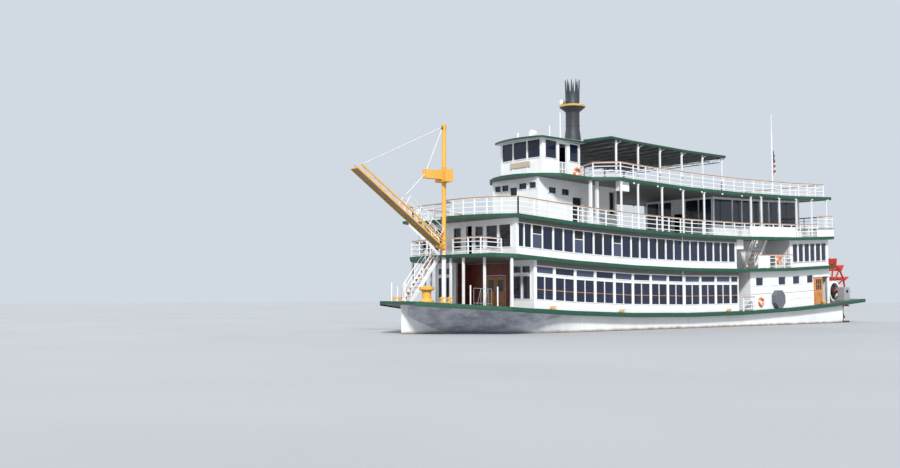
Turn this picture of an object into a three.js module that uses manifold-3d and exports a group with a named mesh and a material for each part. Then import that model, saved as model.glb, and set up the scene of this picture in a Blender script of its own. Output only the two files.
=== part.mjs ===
// Sternwheel paddle boat, a 1:2 scale model of an excursion boat 51 m long over its gangway and wheel.
// Sizes below are the real boat's, in metres: X forward, Y to port, Z up from the waterline.
// The finished group is in model millimetres, with its origin under the middle of the flat bottom.
import * as THREE from 'three';
import { mergeVertices } from 'three/addons/utils/BufferGeometryUtils.js';
import Module from 'manifold-3d';

const wasm = await Module();
wasm.setup();

// Driving dimensions
const MODEL_SCALE = 500;        // model millimetres for one real metre
const GAP = 0.0006;             // left between touching pieces
const DRAFT = 1.0;
const HALF_BEAM = 5.2;          // over the decks
const CABIN_HALF = 4.75;        // outside of the cabins' side walls
const WALL = 0.12;
const DECK_THICK = 0.2;
const MAIN = 1.1;               // tops of the decks at the lowest point of their sheer
const SECOND = 4.3;
const THIRD = 6.75;
const FOURTH = 10.1;
const RAIL_HEIGHT = 1.07;
const STERN_X = -17.0;          // aft edge of the upper decks
const WHEEL = { x: -20.1, z: 2.7, radius: 3.0, half: 3.4 };
const NOTCH = { x: -16.9, half: 3.85 };
const MAST = { x: 21.72, radius: 0.14, top: 13.16, sides: 12 };
const HINGE = { x: 22.05, z: 5.4, pin: 0.04 };
const BOW_STAIR = { head: 21.45, foot: 23.9, y0: -1.65, y1: -0.75 };

// The decks' sheer: each station's rise is that of a parabola through the low point at SHEER_LOW
const SHEER_LOW = 3;
const SHEER_FORE = 0.0018;
const SHEER_AFT = 0.0015;
const KNUCKLES = [-22.2, -16.9, -10.7, -3.3, 3, 9.3, 15, 20, 25.4];
const parabola = (x) => (x > SHEER_LOW ? SHEER_FORE : SHEER_AFT) * (x - SHEER_LOW) ** 2;

function rise(x) {
  const last = KNUCKLES.length - 2;
  let i = KNUCKLES.findIndex((k, n) => n < last && x < KNUCKLES[n + 1]);
  if (i < 0) i = last;
  const [a, b] = [KNUCKLES[i], KNUCKLES[i + 1]];
  return parabola(a) + ((parabola(b) - parabola(a)) * (x - a)) / (b - a);
}

// Solids

const steps = (count) => Array.from({ length: count }, (_, i) => i);

function solidOf(geometry) {
  let shared = geometry.clone();
  shared.deleteAttribute('normal');
  shared.deleteAttribute('uv');
  shared = mergeVertices(shared, 1e-5);
  return new wasm.Manifold(new wasm.Mesh({
    numProp: 3,
    vertProperties: Float32Array.from(shared.attributes.position.array),
    triVerts: Uint32Array.from(shared.index.array),
  }));
}

const join = (...solids) => solids.flat(9).reduce((whole, piece) => whole.add(piece));
const cut = (solid, ...cutters) => {
  const list = cutters.flat(9);
  return list.length ? solid.subtract(join(list)) : solid;
};

function box(x0, x1, y0, y1, z0, z1) {
  const geometry = new THREE.BoxGeometry(1, 1, 1);
  const corners = geometry.attributes.position;
  for (const i of steps(corners.count)) {
    const x = corners.getX(i) < 0 ? x0 : x1;
    const y = corners.getY(i) < 0 ? y0 : y1;
    corners.setXYZ(i, x, y, corners.getZ(i) < 0 ? z0 : z1);
  }
  return solidOf(geometry);
}

// A prism over a plan outline of [x, y] points
function planPrism(outline, z0, z1) {
  const shape = new THREE.Shape(outline.map(([x, y]) => new THREE.Vector2(x, y)));
  const geometry = new THREE.ExtrudeGeometry(shape, { depth: z1 - z0, bevelEnabled: false });
  geometry.translate(0, 0, z0);
  return solidOf(geometry);
}

// A prism across the boat over a side outline of [x, z] points
function sidePrism(outline, y0, y1) {
  const shape = new THREE.Shape(outline.map(([x, z]) => new THREE.Vector2(x, z)));
  const geometry = new THREE.ExtrudeGeometry(shape, { depth: y1 - y0, bevelEnabled: false });
  geometry.rotateX(Math.PI / 2);
  geometry.translate(0, y1, 0);
  return solidOf(geometry);
}

function rod(from, to, radius, sides = 8) {
  const [a, b] = [new THREE.Vector3(...from), new THREE.Vector3(...to)];
  const along = b.clone().sub(a);
  const geometry = new THREE.CylinderGeometry(radius, radius, along.length(), sides);
  geometry.applyQuaternion(
    new THREE.Quaternion().setFromUnitVectors(new THREE.Vector3(0, 1, 0), along.clone().normalize()));
  const middle = a.add(b).multiplyScalar(0.5);
  geometry.translate(middle.x, middle.y, middle.z);
  return solidOf(geometry);
}

// A turned piece on a vertical axis, from a closed profile of [radius, z] points
function turned(profile, x, y, sides) {
  const points = profile.map(([r, z]) => new THREE.Vector2(r, z));
  const geometry = new THREE.LatheGeometry(points, sides);
  geometry.rotateX(Math.PI / 2);
  geometry.translate(x, y, 0);
  return solidOf(geometry);
}

// Splits a mesh's triangles where they cross the plane x = at
function splitTriangles(points, triangles, at) {
  const side = points.map(([x]) => (Math.abs(x - at) < 1e-5 ? 0 : Math.sign(x - at)));
  const made = new Map();
  const crossing = (i, j) => {
    const [a, b] = i < j ? [i, j] : [j, i];
    const key = `${a} ${b}`;
    if (!made.has(key)) {
      const t = (at - points[a][0]) / (points[b][0] - points[a][0]);
      made.set(key, points.length);
      points.push([at, points[a][1] + t * (points[b][1] - points[a][1]),
        points[a][2] + t * (points[b][2] - points[a][2])]);
    }
    return made.get(key);
  };
  const result = [];
  for (const triangle of triangles) {
    const signs = triangle.map((i) => side[i]);
    if (!(signs.includes(1) && signs.includes(-1))) {
      result.push(triangle);
      continue;
    }
    const on = signs.indexOf(0);
    const lone = on >= 0 ? on : signs.findIndex((s) => signs.filter((other) => other === s).length === 1);
    const [a, b, c] = [0, 1, 2].map((n) => triangle[(lone + n) % 3]);
    if (on >= 0) {
      const m = crossing(b, c);
      result.push([a, b, m], [a, m, c]);
    } else {
      const [m, n] = [crossing(a, b), crossing(a, c)];
      result.push([a, m, n], [m, b, c], [m, c, n]);
    }
  }
  return result;
}

// Bends a solid that was made on level decks so that it follows their sheer
function sheered(solid) {
  const mesh = solid.getMesh();
  const points = [];
  for (let i = 0; i < mesh.vertProperties.length; i += mesh.numProp) {
    points.push([...mesh.vertProperties.slice(i, i + 3)]);
  }
  let triangles = [];
  for (let i = 0; i < mesh.triVerts.length; i += 3) triangles.push([...mesh.triVerts.slice(i, i + 3)]);
  for (const at of KNUCKLES) triangles = splitTriangles(points, triangles, at);
  return new wasm.Manifold(new wasm.Mesh({
    numProp: 3,
    vertProperties: Float32Array.from(points.flatMap(([x, y, z]) => [x, y, z + rise(x)])),
    triVerts: Uint32Array.from(triangles.flat()),
  }));
}

const deckBox = (...sides) => sheered(box(...sides));
const mirrored = (half) => [...half, ...half.toReversed().filter(([, y]) => y).map(([x, y]) => [x, -y])];
const bothSides = (make) => [make(1), make(-1)];
// A box whose y runs from inner to outer on the port (1) or starboard (-1) side
const sideBox = (side, x0, x1, inner, outer, z0, z1) =>
  deckBox(x0, x1, Math.min(side * inner, side * outer), Math.max(side * inner, side * outer), z0, z1);

// A straight upright strip between two plan points
function strip([x0, y0], [x1, y1], thick, z0, z1) {
  const length = Math.hypot(x1 - x0, y1 - y0);
  const [nx, ny] = [(-(y1 - y0) / length) * thick / 2, ((x1 - x0) / length) * thick / 2];
  const corners = [[x0 - nx, y0 - ny], [x1 - nx, y1 - ny], [x1 + nx, y1 + ny], [x0 + nx, y0 + ny]];
  return sheered(planPrism(corners, z0, z1));
}

// Railing along a plan path: a top rail, a lower rail and square posts about pitch apart
const RAIL = { thick: 0.07, deep: 0.08, low: 0.45 };
function railing(path, deck, pitch = 3.6, height = RAIL_HEIGHT) {
  const pieces = [];
  path.slice(1).forEach((end, i) => {
    const start = path[i];
    const length = Math.hypot(end[0] - start[0], end[1] - start[1]);
    const spans = Math.max(1, Math.round(length / pitch));
    pieces.push(strip(start, end, RAIL.thick, deck + height - RAIL.deep, deck + height));
    pieces.push(strip(start, end, RAIL.thick, deck + RAIL.low, deck + RAIL.low + RAIL.deep));
    for (const n of steps(spans + 1)) {
      const x = start[0] + ((end[0] - start[0]) * n) / spans;
      const y = start[1] + ((end[1] - start[1]) * n) / spans;
      const half = RAIL.thick / 2;
      pieces.push(deckBox(x - half, x + half, y - half, y + half, deck + GAP, deck + height - 0.01));
    }
  });
  return join(pieces);
}

// The group and its nodes

const group = new THREE.Group();
group.name = 'sternwheel_paddle_boat';
const COLOURS = {
  white: [0xe9ebe8, 0.45, 0], green: [0x2c6b4f, 0.5, 0], glass: [0x1c2733, 0.1, 0],
  yellow: [0xe6b045, 0.45, 0], red: [0xb8402c, 0.6, 0], orange: [0xd98a35, 0.5, 0],
  dark: [0x33383c, 0.5, 0.3], grey: [0x8e9497, 0.6, 0], wood: [0x9a6238, 0.6, 0],
  cloth: [0x2a3566, 0.9, 0],
};

function addNode(name, colour, solid) {
  const mesh = solid.getMesh();
  const geometry = new THREE.BufferGeometry();
  const scaled = Float32Array.from(mesh.vertProperties, (value) => value * MODEL_SCALE);
  geometry.setAttribute('position', new THREE.BufferAttribute(scaled, 3));
  geometry.setIndex(new THREE.BufferAttribute(mesh.triVerts, 1));
  geometry.computeVertexNormals();
  const [hex, roughness, metalness] = COLOURS[colour];
  const node = new THREE.Mesh(geometry, new THREE.MeshStandardMaterial({ color: hex, roughness, metalness }));
  node.name = name;
  group.add(node);
}

// Hull: a flat bottom, upright sides and a fine bow, whose flare overhangs a knuckle line
// Columns: x, bottom z, knuckle z, half breadth at the bottom, at the knuckle and at the deck
const HULL_SECTIONS = [
  [-18.9, -0.6, 0.4, 4.6, 4.8, 4.8],
  [-16.9, -DRAFT, 0.4, 4.6, 4.8, 4.8],
  [13, -DRAFT, 1.0, 4.6, 4.8, 4.8],
  [16, -DRAFT, 0.91, 4.35, 4.75, 4.85],
  [17.5, -DRAFT, 0.75, 3.9, 4.5, 4.85],
  [19, -DRAFT, 0.5, 3.1, 3.9, 4.65],
  [20.5, -0.98, 0.15, 1.8, 2.5, 4.0],
  [21.5, -0.93, 0.02, 1.05, 1.6, 3.3],
  [22.4, -0.85, 0.12, 0.55, 0.95, 2.6],
  [24.1, -0.6, 0.77, 0.12, 0.4, 1.3],
  [25.05, -0.3, 1.34, 0.03, 0.06, 0.12],
];

function hullSection(x) {
  const i = Math.max(1, HULL_SECTIONS.findIndex(([at]) => at >= x));
  const [a, b] = [HULL_SECTIONS[i - 1], HULL_SECTIONS[i]];
  const t = (x - a[0]) / (b[0] - a[0]);
  const [, low, fold, bottom, knuckle, deck] = a.map((value, n) => value + t * (b[n] - value));
  const top = MAIN - DECK_THICK - GAP + rise(x);
  return [[bottom, low], [knuckle, fold], [deck, top], [-deck, top], [-knuckle, fold], [-bottom, low]];
}

function makeHull() {
  const inner = KNUCKLES.filter((k) => k > HULL_SECTIONS[0][0] && k < HULL_SECTIONS.at(-1)[0]);
  const stations = [...new Set([...HULL_SECTIONS.map(([x]) => x), ...inner])].sort((a, b) => a - b);
  const points = stations.flatMap((x) => hullSection(x).map(([y, z]) => [x, y, z]));
  const faces = [];
  const ring = 6;
  stations.slice(1).forEach((_, s) => {
    for (const n of steps(ring)) {
      const [a, b] = [s * ring + n, s * ring + ((n + 1) % ring)];
      faces.push([a, b, b + ring], [a, b + ring, a + ring]);
    }
  });
  for (const n of [1, 2, 3, 4]) {
    const last = (stations.length - 1) * ring;
    faces.push([0, n + 1, n], [last, last + n, last + n + 1]);
  }
  let hull = new wasm.Manifold(new wasm.Mesh({
    numProp: 3, vertProperties: Float32Array.from(points.flat()), triVerts: Uint32Array.from(faces.flat()),
  }));
  hull = cut(hull, box(-19.5, NOTCH.x, -NOTCH.half, NOTCH.half, -2, 3));
  addNode('hull', 'white', hull);
}

// Main deck, with the two beams that carry the wheel's shaft
const BEARING = { y: 4.3, half: 0.3, x: 0.45, shaft: 0.16, sides: 12 };
// The bore's flats face the shaft's corners at rest, and clear them all the way round
function shaftBore(side) {
  const halfStep = 180 / BEARING.sides;
  const radius = (BEARING.shaft + GAP) / Math.cos((halfStep * Math.PI) / 180);
  return rod([0, side * 3, 0], [0, side * HALF_BEAM, 0], radius, BEARING.sides)
    .rotate(0, halfStep, 0).translate(WHEEL.x, 0, WHEEL.z);
}
const MAIN_OUTLINE = [[25.4, 1.76], [20.8, HALF_BEAM], [-22.2, HALF_BEAM], [-22.2, NOTCH.half],
  [NOTCH.x, NOTCH.half]];
function makeMainDeck() {
  const deck = sheered(planPrism(mirrored(MAIN_OUTLINE), MAIN - DECK_THICK, MAIN));
  const top = MAIN + rise(WHEEL.x);
  const blocks = bothSides((s) => cut(
    box(WHEEL.x - BEARING.x, WHEEL.x + BEARING.x, s * BEARING.y - BEARING.half, s * BEARING.y + BEARING.half,
      top - 0.1, WHEEL.z + 0.35),
    shaftBore(s)));
  addNode('main_deck', 'green', join(deck, blocks));
}

// Window rows in a side wall. Columns: first x, last x, pane count, pane width, sill and head above the deck
// With a margin of GAP they are the panes that stand in those windows
function sidePanes(side, deck, [x0, x1, count, width, sill, head], margin = 0) {
  const pitch = (x1 - x0) / count;
  const half = width / 2 - margin;
  return steps(count).map((n) => {
    const middle = x0 + (n + 0.5) * pitch;
    return sideBox(side, middle - half, middle + half, CABIN_HALF - 1, CABIN_HALF + 1,
      deck + sill + margin, deck + head - margin);
  });
}
function endPanes(x, deck, [y0, y1, count, width, sill, head], margin = 0) {
  const pitch = (y1 - y0) / count;
  const half = width / 2 - margin;
  return steps(count).map((n) => {
    const middle = y0 + (n + 0.5) * pitch;
    return deckBox(x - 0.6, x + 0.6, middle - half, middle + half,
      deck + sill + margin, deck + head - margin);
  });
}

// Walls over a plan outline, open at the bottom and the top
function ringWalls(outline, low, high) {
  const outer = sheered(planPrism(outline, low, high));
  return cut(outer, sheered(planPrism(insetOutline(outline, WALL), low - 1, high + 1)));
}
// Moves every side of a counter-clockwise outline inward
function insetOutline(outline, by) {
  const count = outline.length;
  return outline.map(([x, y], i) => {
    const [px, py] = outline[(i + count - 1) % count];
    const [qx, qy] = outline[(i + 1) % count];
    const a = Math.hypot(x - px, y - py);
    const b = Math.hypot(qx - x, qy - y);
    const [n1x, n1y] = [-(y - py) / a, (x - px) / a];
    const [n2x, n2y] = [-(qy - y) / b, (qx - x) / b];
    const k = by / (1 + n1x * n2x + n1y * n2y);
    return [x + (n1x + n2x) * k, y + (n1y + n2y) * k];
  });
}
const rectangle = (fore, aft, half) => [[fore, -half], [fore, half], [aft, half], [aft, -half]];
// Panes that stand in the windows of walls over an outline, a little behind their outside
function raised(outline, panes) {
  const ring = cut(planPrism(insetOutline(outline, PANES.set), 0, MAST.top),
    planPrism(insetOutline(outline, WALL + 0.01), -1, MAST.top + 1));
  return ring.intersect(join(panes));
}

// Openings for a door in an end wall
const doorway = (x, deck, high = 2.1, half = 0.6) => deckBox(x - 0.6, x + 0.6, -half, half, 0, deck + high);
const LOW_DOOR = { high: 2.0, half: 0.5 };
const sideName = (side) => (side > 0 ? 'port' : 'starboard');

const CABIN = { fore: 18.5, aft: -3.4, recess: 17.3, recessHalf: 2.74, doorHalf: 0.95, doorHeight: 2.15,
  bays: 12, pane: 1.62, sill: 0.6, head: 2.0, upperSill: 2.22, upperHead: 2.57 };
const PANES = { width: 0.8, inset: 0.02, lap: 0.08, set: 0.04 };
function makeMainCabin() {
  const [low, high] = [MAIN + GAP, SECOND - DECK_THICK - GAP];
  const windows = (side, margin) =>
    [[CABIN.sill, CABIN.head], [CABIN.upperSill, CABIN.upperHead]].map(([sill, head]) =>
      sidePanes(side, MAIN, [CABIN.aft + 0.2, CABIN.fore - 0.2, CABIN.bays, CABIN.pane, sill, head], margin));
  const foreWindows = (margin) => bothSides((s) =>
    endPanes(CABIN.fore, MAIN, [s * 2.9, s * 4.5, 2, 0.66, CABIN.sill, CABIN.head], margin));
  bothSides((side) => {
    const wall = sideBox(side, CABIN.aft, CABIN.fore, CABIN_HALF - WALL, CABIN_HALF, low, high);
    addNode(`main_cabin_${sideName(side)}_wall`, 'white', cut(wall, windows(side, 0)));
  });
  const inner = CABIN_HALF - WALL - GAP;
  const { fore, recess, recessHalf } = CABIN;
  const front = join(
    bothSides((s) => sideBox(s, fore - WALL, fore, recessHalf, inner, low, high)),
    bothSides((s) => sideBox(s, recess, fore, recessHalf - WALL, recessHalf, low, high)),
    deckBox(recess - WALL, recess, -recessHalf, recessHalf, low, high));
  const entrance = doorway(recess, MAIN, CABIN.doorHeight, CABIN.doorHalf);
  addNode('main_cabin_front_wall', 'white', cut(front, foreWindows(0), entrance));
  const aft = deckBox(CABIN.aft, CABIN.aft + WALL, -inner, inner, low, high);
  addNode('main_cabin_aft_wall', 'white', cut(aft, doorway(CABIN.aft, MAIN)));
  const [z0, z1] = [MAIN + CABIN.sill - PANES.lap, MAIN + CABIN.upperHead + PANES.lap];
  const foreOut = fore - WALL - GAP;
  addNode('main_cabin_glass', 'glass', join(
    bothSides((s) => sideBox(s, CABIN.aft + 0.2, foreOut, inner - PANES.inset, inner, z0, z1)),
    bothSides((s) => sideBox(s, foreOut - PANES.inset, foreOut, 2.8, inner, z0, z1)),
    deckBox(CABIN.aft + 0.2, CABIN.aft + 0.26, -inner, inner, z1 - 0.05, z1),
    raised(rectangle(fore, CABIN.aft, CABIN_HALF), [bothSides((s) => windows(s, GAP)), foreWindows(GAP)])));
}

// A pair of panelled doors in the recess, opening inward on pivots near their outer edges
const LEAF = { thick: 0.06, clear: 0.03, pivot: 0.015, pin: 0.02 };
const ENTRANCE_PIVOT = { x: CABIN.recess - 0.06, y: CABIN.doorHalf - LEAF.clear - LEAF.pivot };
const doorPin = (x, y, low, high) =>
  rod([x, y, low + rise(x + LEAF.pin) + GAP], [x, y, high + rise(x - LEAF.pin) - GAP], LEAF.pin, 6);
function makeEntranceDoors() {
  const { x, y } = ENTRANCE_PIVOT;
  const top = MAIN + CABIN.doorHeight;
  bothSides((side) => {
    const leaf = sideBox(side, x - LEAF.thick / 2, x + LEAF.thick / 2, LEAF.clear / 2, y + LEAF.pivot,
      MAIN + 0.05, top - LEAF.clear);
    const pane = sideBox(side, x - 1, x + 1, 0.2, y - 0.2, MAIN + 1.15, MAIN + 1.9);
    const pin = doorPin(x, side * y, MAIN, top);
    addNode(`entrance_door_${sideName(side)}`, 'orange', join(cut(leaf, pane), pin));
  });
}

// Aft house on the main deck, with a sliding door on each side, stored open as in the photograph
const AFT_HOUSE = { fore: -5.0, aft: -16.85, doorway: [-16.6, -15.5], leaf: [-15.6, -14.3], doorHeight: 2.2,
  leafTop: 2.3, row: [-13.9, -5.7, 4, 0.95, 1.1, 2.0] };
function makeAftHouse() {
  const [low, high] = [MAIN + GAP, SECOND - DECK_THICK - GAP];
  const { fore, aft } = AFT_HOUSE;
  const outline = rectangle(fore, aft, CABIN_HALF);
  const cuts = bothSides((s) => [
    sidePanes(s, MAIN, AFT_HOUSE.row),
    sideBox(s, ...AFT_HOUSE.doorway, CABIN_HALF - 1, CABIN_HALF + 1, 0, MAIN + AFT_HOUSE.doorHeight)]);
  const tracks = bothSides((s) => sideBox(s, aft + 0.1, AFT_HOUSE.leaf[1] + 0.1,
    CABIN_HALF - 0.01, CABIN_HALF + 0.1, MAIN + AFT_HOUSE.leafTop + GAP, MAIN + AFT_HOUSE.leafTop + 0.1));
  addNode('aft_house_walls', 'white',
    join(cut(ringWalls(outline, low, high), cuts, doorway(fore, MAIN)), tracks));
  bothSides((s) => {
    const name = sideName(s);
    const out = CABIN_HALF - WALL - GAP;
    addNode(`aft_house_${name}_glass`, 'glass', join(
      sideBox(s, -14.0, -5.6, out - PANES.inset, out, MAIN + 1.0, MAIN + 2.1),
      raised(outline, sidePanes(s, MAIN, AFT_HOUSE.row, GAP))));
    const leaf = sideBox(s, ...AFT_HOUSE.leaf, CABIN_HALF + 0.012, CABIN_HALF + 0.072,
      MAIN + 0.04, MAIN + AFT_HOUSE.leafTop);
    const pane = sideBox(s, -15.4, -14.5, CABIN_HALF - 1, CABIN_HALF + 1, MAIN + 1.25, MAIN + 2.1);
    addNode(`engine_room_door_${name}`, 'orange', cut(leaf, pane));
  });
  addNode('engine', 'grey', deckBox(-14.5, -10, -0.95, 0.95, MAIN + GAP, MAIN + 1.7));
}

// Second deck, with posts hanging from its fore edge to the main deck and a collar for the mast
// Columns: x, y of each post
const FORE_POSTS = [[21.2, 0.05], [21.2, 1.28], [20.9, 2.91], [20.45, 4.85],
  [21.2, -1.95], [20.9, -2.95], [20.45, -4.85]];
const SECOND_OUTLINE = [[21.45, 2.2], [21.2, 4.2], [20.3, HALF_BEAM], [STERN_X, HALF_BEAM]];
function makeSecondDeck() {
  const slab = sheered(planPrism(mirrored(SECOND_OUTLINE), SECOND - DECK_THICK, SECOND));
  const posts = FORE_POSTS.map(([x, y]) =>
    deckBox(x - 0.06, x + 0.06, y - 0.06, y + 0.06, MAIN + GAP, SECOND - DECK_THICK + 0.01));
  const top = SECOND + rise(21.4);
  // The hole's flats clear the mast's corners however the mast is slewed
  const hole = (MAST.radius + 0.004) / Math.cos(Math.PI / MAST.sides);
  const collar = cut(box(21.3, MAST.x + 0.26, -0.26, 0.26, top - 0.18, top - 0.02),
    rod([MAST.x, 0, 0], [MAST.x, 0, MAST.top], hole, MAST.sides));
  addNode('second_deck', 'green', join(slab, posts, collar));
}

// Second cabin, glazed all along
const SALON = { fore: 20.0, aft: -3.2, bays: 25, sill: 0.5, head: 1.87 };
function makeSecondCabin() {
  const [low, high] = [SECOND + GAP, THIRD - DECK_THICK - GAP];
  const inner = CABIN_HALF - WALL - GAP;
  const { sill, head } = SALON;
  const windows = (side, margin) =>
    sidePanes(side, SECOND, [SALON.aft, SALON.fore - 0.02, SALON.bays, PANES.width, sill, head], margin);
  const foreWindows = (margin) =>
    bothSides((s) => endPanes(SALON.fore, SECOND, [s * 0.75, s * 4.45, 4, PANES.width, sill, head], margin));
  bothSides((side) => {
    const wall = sideBox(side, SALON.aft, SALON.fore, CABIN_HALF - WALL, CABIN_HALF, low, high);
    addNode(`second_cabin_${sideName(side)}_wall`, 'white', cut(wall, windows(side, 0)));
  });
  const front = deckBox(SALON.fore - WALL, SALON.fore, -inner, inner, low, high);
  addNode('second_cabin_front_wall', 'white',
    cut(front, foreWindows(0), doorway(SALON.fore, SECOND, LOW_DOOR.high, LOW_DOOR.half)));
  const aft = deckBox(SALON.aft, SALON.aft + WALL, -inner, inner, low, high);
  addNode('second_cabin_aft_wall', 'white', cut(aft, doorway(SALON.aft, SECOND, LOW_DOOR.high)));
  const [z0, z1] = [SECOND + sill - PANES.lap, SECOND + head + PANES.lap];
  const foreIn = SALON.fore - WALL - GAP - PANES.inset;
  // The side panes stop short of the end walls
  const between = box(SALON.aft + WALL + GAP, foreIn + PANES.inset, -HALF_BEAM, HALF_BEAM, SECOND, FOURTH);
  addNode('second_cabin_glass', 'glass', join(
    bothSides((s) => sideBox(s, SALON.aft + 0.2, foreIn + PANES.inset, inner - PANES.inset, inner, z0, z1)),
    bothSides((s) => sideBox(s, foreIn, foreIn + PANES.inset, 0.65, inner, z0, z1)),
    deckBox(SALON.aft + 0.2, SALON.aft + 0.26, -inner, inner, z1 - 0.05, z1),
    raised(rectangle(SALON.fore, SALON.aft, CABIN_HALF),
      [bothSides((s) => windows(s, GAP).map((pane) => pane.intersect(between))), foreWindows(GAP)])));
}

// Aft cabin on the second deck, with a narrow casing between the side galleries
const AFT_CABIN = { fore: -4.6, step: -10.7, aft: -16.8, casingHalf: 2.6, sill: 0.45, head: 1.9 };
function makeAftCabin() {
  const { fore, step, aft, casingHalf, sill, head } = AFT_CABIN;
  const outline = [[fore, -casingHalf], [fore, casingHalf], [step, casingHalf], [step, CABIN_HALF],
    [aft, CABIN_HALF], [aft, -CABIN_HALF], [step, -CABIN_HALF], [step, -casingHalf]];
  const walls = ringWalls(outline, SECOND + GAP, THIRD - DECK_THICK - GAP);
  const windows = (margin) => bothSides((s) => [
    sidePanes(s, SECOND, [aft + 0.35, step - 0.35, 6, 0.72, sill, head], margin),
    endPanes(aft, SECOND, [s * 0.6, s * 4.4, 3, PANES.width, 0.6, 1.8], margin)]);
  addNode('second_aft_cabin_walls', 'white',
    cut(walls, windows(0), doorway(fore, SECOND, LOW_DOOR.high, LOW_DOOR.half)));
  const out = CABIN_HALF - WALL - GAP;
  const foot = aft + WALL + GAP;
  const [z0, z1] = [SECOND + sill - PANES.lap, SECOND + head + PANES.lap];
  addNode('second_aft_cabin_glass', 'glass', join(
    bothSides((s) => sideBox(s, foot, step - WALL - 0.05, out - PANES.inset, out, z0, z1)),
    deckBox(foot, foot + PANES.inset, -out, out, z0, z1),
    raised(outline, windows(GAP))));
}

// Third deck, open under the fourth, with wells for the side stairs and a raised platform aft
const SIDE_STAIR = { low: -6.2, high: -8.2, y0: 3.5, y1: 4.3 };
// Plan points of the fore edge, which bows forward by BOW_EDGE.bulge between its corners
const BOW_EDGE = { x: 20.2, bulge: 1.2 };
const bowEdge = (y) => [BOW_EDGE.x + BOW_EDGE.bulge * (1 - (y / HALF_BEAM) ** 2), y];
const THIRD_PORT = [...[-0.75, 0.4, 1.7, 2.9, 4.1, HALF_BEAM].map(bowEdge), [STERN_X, HALF_BEAM]];
const THIRD_STARBOARD = [[STERN_X, -HALF_BEAM], [20.3, -HALF_BEAM], [21.2, -5.0], [21.2, -4.35],
  [20.55, -4.35], [20.55, -0.75]];
// Posts under the fourth deck's narrow fore part
const CORNER_POSTS = [[11.85, 3.5], [11.25, 3.55]];
function makeThirdDeck() {
  const slab = sheered(planPrism([...THIRD_PORT, ...THIRD_STARBOARD], THIRD - DECK_THICK, THIRD));
  const wells = bothSides((s) => sideBox(s, SIDE_STAIR.high - GAP, SIDE_STAIR.low - 0.1, SIDE_STAIR.y0 - 0.1,
    SIDE_STAIR.y1 + 0.1, THIRD - 1, THIRD + 1));
  const platform = deckBox(-16.8, -15.3, -4.85, 4.85, THIRD - 0.01, THIRD + 0.65);
  const half = 0.08;
  const posts = bothSides((s) => CORNER_POSTS.map(([x, y]) =>
    sideBox(s, x - half, x + half, y - half, y + half, THIRD - 0.01, FOURTH - DECK_THICK - GAP)));
  addNode('third_deck', 'green', join(cut(slab, wells), platform, posts));
}

// Houses on the third deck
const FRONT_HOUSE = { fore: 15.5, aft: 7.6, half: 2.17, sill: 2.16, head: 2.56 };
const REAR_HOUSE = { fore: -2.5, aft: -15.0, half: 3.2, row: [-14.6, -3.0, 7, 1.1, 1.1, 2.2] };
// The front house's side windows, then its open doorway and hatch. Columns: aft x, fore x, low, high
const FRONT_HOUSE_SIDE = [[13.83, 14.49, 2.16, 2.56], [12.57, 13.23, 2.16, 2.56]];
const FRONT_HOUSE_OPEN = [[11.3, 12.2, -1, 2.1], [7.85, 8.4, 1.15, 2.8]];
// Openings in its front wall. Columns: starboard y, port y, low and high above the deck
const FRONT_HOUSE_END = [[-1.93, -1.46, 2.16, 2.56], [-1.19, -0.65, 2.16, 2.56], [-0.4, 0.2, 1.45, 2.05],
  [0.45, 1.13, 2.16, 2.56], [1.36, 1.95, 2.16, 2.56]];
function makeFrontHouse() {
  const { fore, aft, half, sill, head } = FRONT_HOUSE;
  const outline = rectangle(fore, aft, half);
  const shrunk = ([a, b, low, high], margin) =>
    [a + margin, b - margin, THIRD + low + margin, THIRD + high - margin];
  const sideOpenings = (rows, margin) => bothSides((s) => rows.map((row) => {
    const [x0, x1, z0, z1] = shrunk(row, margin);
    return sideBox(s, x0, x1, half - 1, half + 1, z0, z1);
  }));
  const endWindows = (margin) =>
    FRONT_HOUSE_END.map((row) => deckBox(fore - 1, fore + 1, ...shrunk(row, margin)));
  const cuts = [sideOpenings([...FRONT_HOUSE_SIDE, ...FRONT_HOUSE_OPEN], 0), endWindows(0)];
  addNode('third_front_house_walls', 'white',
    cut(ringWalls(outline, THIRD + GAP, FOURTH - DECK_THICK - GAP), cuts));
  const out = half - WALL - GAP;
  const pane = fore - WALL - GAP;
  addNode('third_front_house_glass', 'glass', join(
    bothSides((s) =>
      sideBox(s, 12.4, pane, out - PANES.inset, out, THIRD + sill - PANES.lap, THIRD + head + PANES.lap)),
    deckBox(pane - PANES.inset, pane, -out, out, THIRD + 1.4, THIRD + head + PANES.lap),
    raised(outline, [sideOpenings(FRONT_HOUSE_SIDE, GAP), endWindows(GAP)])));
}
function makeRearHouse() {
  const { fore, aft, half, row } = REAR_HOUSE;
  const outline = rectangle(fore, aft, half);
  const windows = (margin) => bothSides((s) =>
    sidePanes(s, THIRD, row, margin).map((pane) => pane.translate(0, s * (half - CABIN_HALF), 0)));
  addNode('third_rear_house_walls', 'white', cut(ringWalls(outline, THIRD + GAP, FOURTH - DECK_THICK - GAP),
    windows(0), doorway(fore, THIRD, LOW_DOOR.high, LOW_DOOR.half)));
  const out = half - WALL - GAP;
  const [, , , , sill, head] = row;
  const [z0, z1] = [THIRD + sill - PANES.lap, THIRD + head + PANES.lap];
  addNode('third_rear_house_glass', 'glass', join(
    bothSides((s) => sideBox(s, aft + WALL + GAP, fore - WALL - 0.1, out - PANES.inset, out, z0, z1)),
    deckBox(aft + WALL + GAP, aft + WALL + GAP + PANES.inset, -out, out, z0, z1),
    raised(outline, windows(GAP))));
}

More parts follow.
